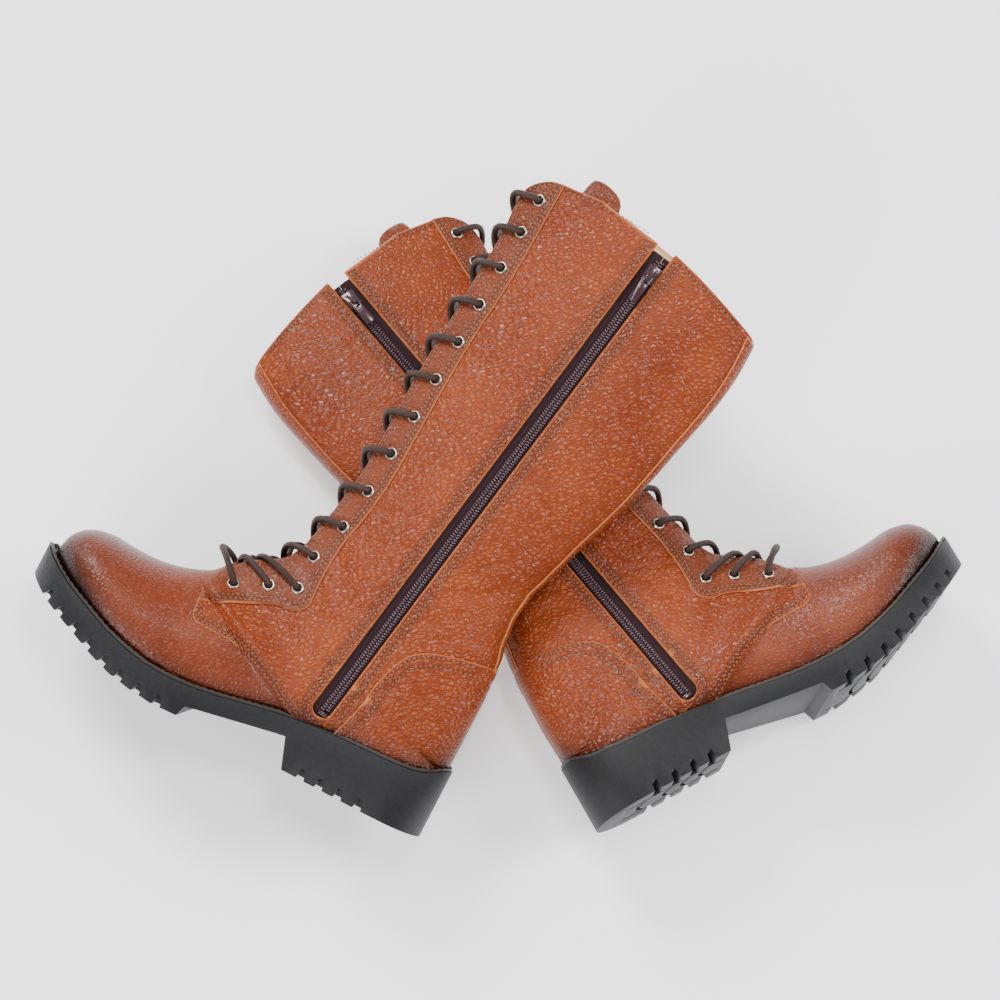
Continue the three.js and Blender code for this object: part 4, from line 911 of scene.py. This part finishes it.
def row_frames(places, side, height, boot):
    """Places and axes of stitches along a row: every other point is a stitch's middle."""
    psi = places[:, 1] * side
    points = surface(places[:, 0], psi, height, boot)
    normals = skin_normal(places[:, 0], psi)
    middles, ahead = points[1:-1:2], points[2::2][:len(points[1:-1:2])] - points[:-2:2]
    ahead /= np.maximum(np.linalg.norm(ahead, axis=1, keepdims=True), 1e-9)
    up = normals[1:-1:2]
    across = np.cross(up, ahead)
    across /= np.maximum(np.linalg.norm(across, axis=1, keepdims=True), 1e-9)
    return middles, np.stack([ahead, across, np.cross(ahead, across)], 1)


stitch_pitch, stitch_length, stitch_radius, stitch_sink = 3.2, 2.2, 0.38, 0.12
strip_row_half = 8.2


def stitched(lines, side, height, rise=None):
    """Rows for one side: each line with its height over the skin."""
    return [(line, side, height, rise) for line in lines]


strip_row = np.column_stack([np.linspace(s_collar_back + 0.06, 5.6, 400), np.zeros(400)])
strip_row[:, 1] = width_psi(strip_row[:, 0], strip_row_half)
all_rows = (
    stitched(zip_front_rows + [collar_rows["front"]], 1, 0.0) + stitched(quarter_lap_rows, 1, 0.0, lap_lift)
    + stitched(zip_rear_rows + [collar_rows["rear"]], 1, 0.0) + stitched([collar_rows["outer"]], -1, 0.0)
    + stitched(quarter_lap_rows, -1, 0.0, lap_lift) + stitched(counter_rows, 1, counter_height)
    + stitched(counter_rows, -1, counter_height) + stitched(facing_rows, 1, facing_top)
    + stitched(facing_rows, -1, facing_top)
    + stitched([strip_row], 1, strip_height) + stitched([strip_row], -1, strip_height)
)
for boot_name, boot in boots.items():
    origins, axes = [], []
    for line, side, height, rise in all_rows:
        if line is strip_row:
            flat = resample(chart(line), stitch_pitch / 2)
            places = unchart(flat)
            places[:, 1] = width_psi(places[:, 0], strip_row_half)
        else:
            places = locate(resample(np.asarray(line), stitch_pitch / 2))
        lifted = height + (rise(skin(places[:, 0], places[:, 1])[:, [0, 2]]) if rise else 0)
        middles, frames_here = row_frames(places, side, lifted - stitch_sink, boot)
        origins.append(middles)
        axes.append(frames_here)
    scatter("thread", boot_name, spindle(stitch_length, stitch_radius), np.vstack(origins),
            np.concatenate(axes), thread, slot="waxed_cord", normals=False)


# ------------------------------------------------------------------------------- zip
# Coil zip on a woven polyester tape, sewn behind the leather; the slider rests closed.
tape, tape_shader = new_material("polyester_tape_woven_plum", {"Roughness": 0.85, "Specular IOR Level": 0.2})
tape_place = add_node(tape, "TexCoord").outputs["UV"]
ribs_of_tape = add_node(tape, "TexWave", {"bands_direction": "X"}, {"Vector": tape_place, "Scale": 0.32})
picks = add_node(tape, "TexWave", {"bands_direction": "Y"}, {"Vector": tape_place, "Scale": 0.4})
weave = add_node(tape, "Math", {"operation": "MULTIPLY"},
                 {0: ribs_of_tape.outputs["Fac"], 1: picks.outputs["Fac"]})
tape_mix = add_node(tape, "MixRGB", None, {
    "Fac": weave.outputs[0], "Color1": linear("#1f1014"), "Color2": linear("#43292e")})
plug(tape, tape_shader, "Base Color", tape_mix.outputs[0])
tape_bump = add_node(tape, "Bump", None, {"Strength": 0.6, "Distance": 0.0003, "Height": weave.outputs[0]})
plug(tape, tape_shader, "Normal", tape_bump.outputs["Normal"])
coil, _ = mottled("polyamide_coil_glossy_plum", {"Roughness": 0.3, "IOR": 1.53, "Coat Weight": 0.2},
                  300.0, 2.0, "#22121a", "#4e333b")

zip_length = float(np.linalg.norm(zip_head - zip_foot))
tooth_pitch, tooth_length, tooth_radius, tooth_rise, tooth_side = 2.0, 3.5, 0.98, 1.25, 1.55
tape_sink, tape_thick = -2.7, 0.7


def on_zip(across, along_zip, height, boot):
    """Points beside the zip's line, at a height over the skin there."""
    flat = zip_foot + np.outer(across, zip_side_dir) + np.outer(along_zip, zip_dir)
    places = locate(flat)
    return surface(places[:, 0], places[:, 1], height, boot), skin_normal(places[:, 0], places[:, 1])


for boot_name, boot in boots.items():
    for part_name, low, high in (("zip_tape_front", 0.15, 14.0), ("zip_tape_rear", -11.5, -0.15)):
        across_stops = np.linspace(low, high, 15)
        along_stops = np.linspace(-6, zip_length + 2.5, 190)
        grid_a, grid_l = np.meshgrid(across_stops, along_stops)
        bead = 0.35 * np.exp(-((np.abs(grid_a) - 4.6) / 0.8) ** 2)
        top, _ = on_zip(grid_a.ravel(), grid_l.ravel(), tape_sink + bead.ravel(), boot)
        below, _ = on_zip(grid_a.ravel(), grid_l.ravel(), tape_sink - tape_thick, boot)
        rows, cols = grid_a.shape
        faces = []
        for i in range(rows - 1):
            for j in range(cols - 1):
                a = i * cols + j
                faces.append((a, a + 1, a + cols + 1, a + cols))
                faces.append(tuple(v + rows * cols for v in (a, a + cols, a + cols + 1, a + 1)))
        loop = ([j for j in range(cols)] + [i * cols + cols - 1 for i in range(1, rows)]
                + [(rows - 1) * cols + j for j in range(cols - 2, -1, -1)]
                + [i * cols for i in range(rows - 2, 0, -1)])
        for a, b in zip(loop, loop[1:] + loop[:1]):
            faces.append((b, a, a + rows * cols, b + rows * cols))
        piece = make_piece(part_name, boot_name, np.vstack([top, below]), faces, [tape], nodes=(part_name,),
                           slot="zip_tape", angle=50)
        give_uv(piece, np.tile(np.column_stack([grid_a.ravel(), grid_l.ravel()]), (2, 1)))
    count = int(zip_length / tooth_pitch)
    origins, axes = [], []
    for side in (1, -1):
        along_zip = (np.arange(count) + (0.5 if side > 0 else 1.0)) * tooth_pitch
        across = np.full(count, tooth_side * side)
        points, normals = on_zip(across, along_zip, tape_sink + tooth_rise, boot)
        ahead, _ = on_zip(across, along_zip + 1, tape_sink + tooth_rise, boot)
        ahead = ahead - points
        ahead /= np.linalg.norm(ahead, axis=1, keepdims=True)
        sideways = np.cross(normals, ahead)
        sideways /= np.linalg.norm(sideways, axis=1, keepdims=True)
        slanted = sideways + 0.18 * side * ahead
        slanted /= np.linalg.norm(slanted, axis=1, keepdims=True)
        third = np.cross(slanted, ahead)
        third /= np.linalg.norm(third, axis=1, keepdims=True)
        origins.append(points)
        axes.append(np.stack([slanted, np.cross(third, slanted), third], 1))
    scatter("zip_teeth", boot_name, spindle(tooth_length, tooth_radius, flat=1.1), np.vstack(origins),
            np.concatenate(axes), coil, slot="zip_tape", normals=False)


# --------------------------------------------------------------------------- eyelets
# Nickel-plated brass eyelets, rolled over the facing, with a barrel through it.
nickel, _ = mottled("nickel_plated_brass", {
    "Base Color": linear("#c9c4bb"), "Metallic": 1.0, "Roughness": 0.28}, 700.0, 3.0, "#8f867b", "#e2ddd4")
ring_profile = [(2.7, -3.4), (2.7, 0.2), (2.85, 0.75), (3.25, 1.05), (3.75, 0.95), (4.15, 0.55), (4.3, 0.05),
                (3.4, -0.1), (3.3, -3.4)]
ring_sides = 26
ring_points = np.array([[r * math.cos(2 * math.pi * k / ring_sides),
                         r * math.sin(2 * math.pi * k / ring_sides), z]
                        for r, z in ring_profile for k in range(ring_sides)])
ring_faces = [(i * ring_sides + k, i * ring_sides + (k + 1) % ring_sides,
               (i + 1) % len(ring_profile) * ring_sides + (k + 1) % ring_sides,
               (i + 1) % len(ring_profile) * ring_sides + k)
              for i in range(len(ring_profile)) for k in range(ring_sides)]


def eyelet_frames(side, boot):
    places = eyelet_places
    points = surface(places[:, 0], places[:, 1] * side, facing_top, boot)
    normals = skin_normal(places[:, 0], places[:, 1] * side)
    first = np.cross(normals, np.array([0.3, 0.2, 0.9]))
    first /= np.linalg.norm(first, axis=1, keepdims=True)
    return points, np.stack([first, np.cross(normals, first), normals], 1)


for boot_name, boot in boots.items():
    for side_name, side in (("zip_side", 1), ("outer_side", -1)):
        points, axes = eyelet_frames(side, boot)
        scatter(f"eyelets_{side_name}", boot_name, (ring_points, ring_faces), points, axes, nickel,
                nodes=(f"eyelets_{side_name}",), slot="nickel", angle=60)


# ------------------------------------------------------------------------------ lace
# Round waxed cotton lace, laced criss-cross from the collar down to the instep.
lace_cord, lace_shader = new_material("cotton_lace_waxed_brown",
                                      {"Roughness": 0.5, "Specular IOR Level": 0.3})
lace_uv = add_node(lace_cord, "TexCoord").outputs["UV"]
braid = add_node(lace_cord, "TexWave", {"bands_direction": "DIAGONAL", "wave_type": "BANDS"},
                 {"Vector": lace_uv, "Scale": 0.5, "Distortion": 0.6})
flecks = add_node(lace_cord, "TexVoronoi", {"feature": "F1"}, {"Scale": 1500.0})
fleck_mask = add_node(lace_cord, "MapRange", None, {
    "Value": flecks.outputs["Distance"], "From Min": 0.18, "From Max": 0.42, "To Min": 1.0, "To Max": 0.0})
lace_base = add_node(lace_cord, "MixRGB", None, {
    "Fac": braid.outputs["Fac"], "Color1": linear("#170d09"), "Color2": linear("#34201a")})
lace_mix = add_node(lace_cord, "MixRGB", None, {
    "Fac": fleck_mask.outputs[0], "Color1": lace_base.outputs[0], "Color2": linear("#60453a")})
plug(lace_cord, lace_shader, "Base Color", lace_mix.outputs[0])
lace_bump = add_node(lace_cord, "Bump", None,
                     {"Strength": 0.5, "Distance": 0.0004, "Height": braid.outputs["Fac"]})
plug(lace_cord, lace_shader, "Normal", lace_bump.outputs["Normal"])
lace_radius = 2.15


def lace_route(boot):
    top = facing_top + 0.9 + lace_radius
    under = -leather - lace_radius - 1.2
    holes = {side: [eyelet_frames(side, boot)[0] - eyelet_frames(side, boot)[1][:, 2] * facing_top,
                    eyelet_frames(side, boot)[1][:, 2]] for side in (1, -1)}

    def over(s, psi, height):
        return surface(s, psi, height, {"seed": boot["seed"]})[0]

    def strand(first_side):
        points = []
        for i in range(13, -1, -1):
            side = first_side if (13 - i) % 2 == 0 else -first_side
            centre, normal = holes[side][0][i], holes[side][1][i]
            points += [centre + normal * under, centre + normal * (facing_top + 0.4), centre + normal * top]
            if i == 0:
                break
            (s, psi), (ns, npsi) = eyelet_places[i], eyelet_places[i - 1]
            points += [over(s + 0.15 * (ns - s), side * psi * 0.46, facing_top + lace_radius + 1.6),
                       over(s + 0.42 * (ns - s), 0.0, 0.2 if side > 0 else -4.6),
                       over(ns + 0.2 * (s - ns), -side * npsi * 0.5, under - 1.8)]
        return points
    zip_strand, outer_strand = strand(-1), strand(1)
    s, psi = eyelet_places[0]
    ends_inside = outer_strand[-1][1] > float(rib_at(s)[5])
    bar = [over(s - 0.45, share * psi, 12.5 if share == 0 else 10.5) for share in (0.5, 0, -0.5)]
    if not ends_inside:
        bar.reverse()

    def tail(side):
        return [holes[side][0][13] + holes[side][1][13] * (under - 2) + np.array([-2, 0, 0])]
    return np.array(tail(1) + outer_strand + bar + zip_strand[::-1] + tail(-1))


def cord_tube(route, radius, sides, step):
    line = smooth_path(route, step)
    tangents = np.gradient(line, axis=0)
    tangents /= np.linalg.norm(tangents, axis=1, keepdims=True)
    up = np.array([0.0, 0.0, 1.0])
    rings = []
    for point, tangent in zip(line, tangents):
        sideways = np.cross(tangent, up)
        sideways /= max(np.linalg.norm(sideways), 1e-9)
        up = np.cross(sideways, tangent)
        angles = 2 * np.pi * np.arange(sides) / sides
        rings.append(point + radius * (np.outer(np.cos(angles), sideways) + np.outer(np.sin(angles), up)))
    count = len(line)
    points = np.vstack(rings)
    faces = [(i * sides + k, i * sides + (k + 1) % sides,
              (i + 1) * sides + (k + 1) % sides, (i + 1) * sides + k)
             for i in range(count - 1) for k in range(sides)]
    faces += [tuple(range(sides))[::-1], tuple((count - 1) * sides + k for k in range(sides))]
    uv = np.column_stack([np.tile(np.arange(sides) / sides * 2 * np.pi * radius, count),
                          np.repeat(np.arange(count) * step, sides)])
    return points, faces, uv


for boot_name, boot in boots.items():
    points, faces, uv = cord_tube(lace_route(boot), lace_radius, 12, 1.1)
    piece = make_piece("lace", boot_name, points, faces, [lace_cord], nodes=("lace",), slot="waxed_cord")
    give_uv(piece, uv)


# --------------------------------------------------------- pieces finished from the CAD
# The sole unit, welt, tongue, slider, pull and stop keep the CAD shape, with their
# edges rounded. The tongue is smoothed as well.
def finished(name, boot_name, material, bevel=None, levels=0, body=None, angle=35):
    source = bpy.data.objects[f"{boot_name}_{name}"]
    mesh = source.data.copy()
    mesh.name = f"{boot_name}_{name}_rounded"
    shape = bmesh.new()
    shape.from_mesh(mesh)
    bmesh.ops.remove_doubles(shape, verts=shape.verts, dist=0.00002)
    bmesh.ops.dissolve_limit(shape, angle_limit=math.radians(1.0), verts=shape.verts, edges=shape.edges)
    if levels:
        bmesh.ops.join_triangles(shape, faces=shape.faces, angle_face_threshold=0.7,
                                 angle_shape_threshold=0.7)
    bmesh.ops.recalc_face_normals(shape, faces=shape.faces)
    shape.to_mesh(mesh)
    shape.free()
    piece = bpy.data.objects.new(f"{boot_name}_{name}_finished", mesh)
    piece.data.materials.clear()
    piece.data.materials.append(material)
    bpy.context.scene.collection.objects.link(piece)
    bpy.context.view_layer.objects.active = piece
    piece.select_set(True)
    if name == "outsole":
        cut_tread(piece, boots[boot_name])
    if bevel:
        rounding = piece.modifiers.new("rounding", "BEVEL")
        rounding.width = bevel
        rounding.segments = 2
        rounding.limit_method = "ANGLE"
        rounding.angle_limit = math.radians(28)
        bpy.ops.object.modifier_apply(modifier="rounding")
    if levels:
        fine = piece.modifiers.new("fine", "SUBSURF")
        fine.levels = fine.render_levels = levels
        bpy.ops.object.modifier_apply(modifier="fine")
    bpy.ops.object.shade_smooth_by_angle(angle=math.radians(angle))
    piece.select_set(False)
    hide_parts(f"{boot_name}_{name}")
    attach(piece, body or f"{boot_name}_boot")
    return piece


# Moulded nitrile rubber: matt black, with fine mould texture and scuffs.
rubber, rubber_shader = mottled("nitrile_rubber_moulded_black", {
    "Roughness": 0.5, "Specular IOR Level": 0.28}, 90.0, 5.0, "#0d0d0e", "#202022")
rubber_grit = add_node(rubber, "TexNoise", None, {"Scale": 1400.0, "Detail": 2.0})
rubber_bump = add_node(rubber, "Bump", None,
                       {"Strength": 0.3, "Distance": 0.0003, "Height": rubber_grit.outputs["Fac"]})
plug(rubber, rubber_shader, "Normal", rubber_bump.outputs["Normal"])
# Waxed welt leather: black, with a dull shine.
welt_leather, _ = mottled("welt_leather_black_waxed", {"Roughness": 0.5}, 300.0, 3.0, "#17120f", "#332821")
# Natural calf: undyed, matt, with fine pores.
lining, lining_shader = mottled("lining_calf_natural", {"Roughness": 0.7}, 70.0, 5.0, "#c9a777", "#dcc096")
lining_pores = add_node(lining, "TexVoronoi", None, {"Scale": 1100.0})
lining_bump = add_node(lining, "Bump", None,
                       {"Strength": 0.25, "Distance": 0.0003, "Height": lining_pores.outputs["Distance"]})
plug(lining, lining_shader, "Normal", lining_bump.outputs["Normal"])
# Pressed fibre board: matt brown.
board, _ = mottled("fibre_board_pressed", {"Roughness": 0.9}, 400.0, 4.0, "#8a6a4a", "#b0906a")
# Spring steel: blued, half matt.
steel, _ = mottled("spring_steel_blued", {"Metallic": 1.0, "Roughness": 0.4},
                   300.0, 2.0, "#4a4d52", "#6c7076")
# Cast zinc under a clear plum lacquer: glossy.
bronze, _ = mottled("zinc_lacquered_plum", {
    "Metallic": 0.35, "Roughness": 0.25, "Coat Weight": 0.5, "Coat Roughness": 0.12},
    500.0, 3.0, "#2c171c", "#4a2e33")

# Natural calf lining, cut like the outer leather and sewn in behind it.
lining_depth, lining_thick, lining_spacing = -4.1, 1.2, 3.4
low_front, low_outer = shifted(collar_front, 2.6), shifted(collar_outer, 2.6)
low_rear = shifted(collar_rear, 2.6)
lining_front_line = beside_zip(16.0, 37.0, 421)
lining_rear_line = beside_zip(-14.0, 38.4, 411.5)
s_low = back_rib(low_outer)
s_front_sole = back_rib(lining_front_line)
s_rear_sole = back_rib(lining_rear_line)
inner_front = shifted(facing_front, 2.0)[2:-2]
inner_tip = [("line", np.array([rib_at(throat)[:2], inner_front[0]])), ("line", inner_front)]
lining_front_outline = outline_of(
    ("line", low_front[:-6]), ("line", np.array([low_front[-6], lining_front_line[0]])),
    ("line", lining_front_line),
    ("edge", on_edge(s_front_sole, 20.6, 1)), ("edge", on_edge(20.6, throat, 0)), *inner_tip,
    ("line", np.array([inner_front[-1], low_front[0]])),
)
lining_rear_outline = outline_of(
    ("line", low_rear[2:]), ("edge", on_edge(back_rib(low_rear), s_rear_sole, 1)),
    ("line", lining_rear_line[::-1]),
)
lining_outer_outline = outline_of(
    ("line", low_outer), ("edge", on_edge(s_low, 20.6, 1)), ("edge", on_edge(20.6, throat, 0)), *inner_tip,
    ("line", np.array([inner_front[-1], low_outer[0]])),
)
for part_name, side, outline in (("lining_front", 1, lining_front_outline),
                                 ("lining_rear", 1, lining_rear_outline),
                                 ("lining_outer_side", -1, lining_outer_outline)):
    panel(part_name, side, *outline, lining_depth, lining_thick, (lining, lining, lining), (part_name,),
          "lining_leather",
          spacing=lining_spacing, raw=False)

# Grooves moulded between the lugs, along the sole and across it.
tread = [(-8, 0), (96, 0), (103.5, 20.5), (170, 8.6), (172.5, 0.9), (190, 0.6), (207, 2.6), (223, 5.6),
         (238.5, 10.8),
         (251.7, 16.2), (266, 21.6), (281, 27), (293.5, 33.2), (306, 40.5)]
tread_x, tread_z = np.array(tread).T
groove_depth, groove_half, lug_reach, sole_margin = 4.5, 1.7, 19.5, 5.5


def swept_cut(middles):
    """Closed cutter along a line of the underside, a groove wide and deep."""
    middles = np.asarray(middles, float)
    way = np.gradient(middles, axis=0)
    way /= np.linalg.norm(way, axis=1, keepdims=True)
    across = np.column_stack([-way[:, 1], way[:, 0]]) * groove_half
    low = np.interp(middles[:, 0], tread_x, tread_z)
    points = []
    for place, side_way, z in zip(middles, across, low):
        for sign, height in ((1, -3), (-1, -3), (-0.7, groove_depth), (0.7, groove_depth)):
            points.append((*(place + side_way * sign), z + height))
    faces = [(i * 4 + k, i * 4 + (k + 1) % 4, (i + 1) * 4 + (k + 1) % 4, (i + 1) * 4 + k)
             for i in range(len(middles) - 1) for k in range(4)]
    end = (len(middles) - 1) * 4
    return points, faces + [(3, 2, 1, 0), (end, end + 1, end + 2, end + 3)]


cut_lines = []
for x_from, x_to, count in ((18, 92, 22), (180, 288, 30)):
    xs = np.linspace(x_from, x_to, count)
    for sign in (1, -1):
        reach = np.maximum(sole_half(xs, sole_margin) - lug_reach, 3)
        cut_lines.append(np.column_stack([xs, along(plan_centre, xs) + sign * reach]))
for x in (28, 48, 62, 76, 195, 210, 224, 238, 252, 265):
    reach = float(sole_half(x, sole_margin)) - lug_reach - 4
    ys = np.linspace(-reach, reach, 9)
    cut_lines.append(np.column_stack([x + 5 * (ys / reach) ** 2, ys + float(along(plan_centre, x))]))


def cut_tread(piece, boot):
    for line in cut_lines:
        points, faces = swept_cut(line)
        mesh = bpy.data.meshes.new("cutter")
        mesh.from_pydata(to_world(points, boot).tolist(), [], faces)
        shape = bmesh.new()
        shape.from_mesh(mesh)
        bmesh.ops.recalc_face_normals(shape, faces=shape.faces)
        shape.to_mesh(mesh)
        shape.free()
        cutter = bpy.data.objects.new("cutter", mesh)
        bpy.context.scene.collection.objects.link(cutter)
        cut = piece.modifiers.new("cut", "BOOLEAN")
        cut.operation = "DIFFERENCE"
        cut.solver = "EXACT"
        cut.object = cutter
        bpy.context.view_layer.objects.active = piece
        bpy.ops.object.modifier_apply(modifier="cut")
        bpy.data.objects.remove(cutter)


# The welt is stitched through beside the upper, 5 mm to a stitch.
welt_pitch, welt_row, welt_rise = 5, 3.4, 2.45
welt_x = np.concatenate([np.linspace(-1.0, 20, 16), np.linspace(22, 285, 100), np.linspace(287, 300.5, 16)])
for boot_name, boot in boots.items():
    stitches, directions = [], []
    for sign in (1, -1):
        edge = np.column_stack([welt_x, along(plan_centre, welt_x) + sign * np.maximum(
            sole_half(welt_x, welt_row), 0.5)])
        edge = resample(edge, welt_pitch / 2)
        height = along(sole_top, edge[:, 0]) + welt_rise
        line = np.column_stack([edge, height])
        middles, ahead = line[1:-1:2], line[2::2][:len(line[1:-1:2])] - line[:-2:2]
        ahead /= np.linalg.norm(ahead, axis=1, keepdims=True)
        across = np.cross(np.array([0.0, 0.0, 1.0]), ahead)
        across /= np.linalg.norm(across, axis=1, keepdims=True)
        stitches.append(middles)
        directions.append(np.stack([ahead, across, np.cross(ahead, across)], 1))
    scatter("welt_thread", boot_name, spindle(3.8, 0.45), np.vstack(stitches), np.concatenate(directions),
            welt_leather, slot="waxed_cord", normals=False)

for boot_name in boots:
    # Sole unit: heel and lugged sole moulded in one, in black rubber.
    finished("outsole", boot_name, rubber, bevel=0.0007)
    # Welt: a strip of black waxed leather between the upper and the sole.
    finished("welt", boot_name, welt_leather, bevel=0.0004)
    # Tongue: soft leather behind the lace, with a rounded tab over the collar.
    finished("tongue", boot_name, facing_leather, levels=2)
    # Slider, pull and bottom stop: cast zinc, lacquered dark.
    finished("zip_slider", boot_name, bronze, bevel=0.0006, body=f"{boot_name}_zip_slider")
    finished("zip_pull", boot_name, bronze, bevel=0.0004, body=f"{boot_name}_zip_puller")
    finished("zip_stop", boot_name, bronze, bevel=0.0004)
    # Shank, insole board, footbed, stiffener and toe puff are hidden, so the CAD meshes do.
    for part_name, material in (("shank", steel), ("insole_board", board), ("footbed", lining),
                                ("heel_stiffener", board), ("toe_puff", board)):
        node = bpy.data.objects[f"{boot_name}_{part_name}"]
        node.data.materials.clear()
        node.data.materials.append(material)
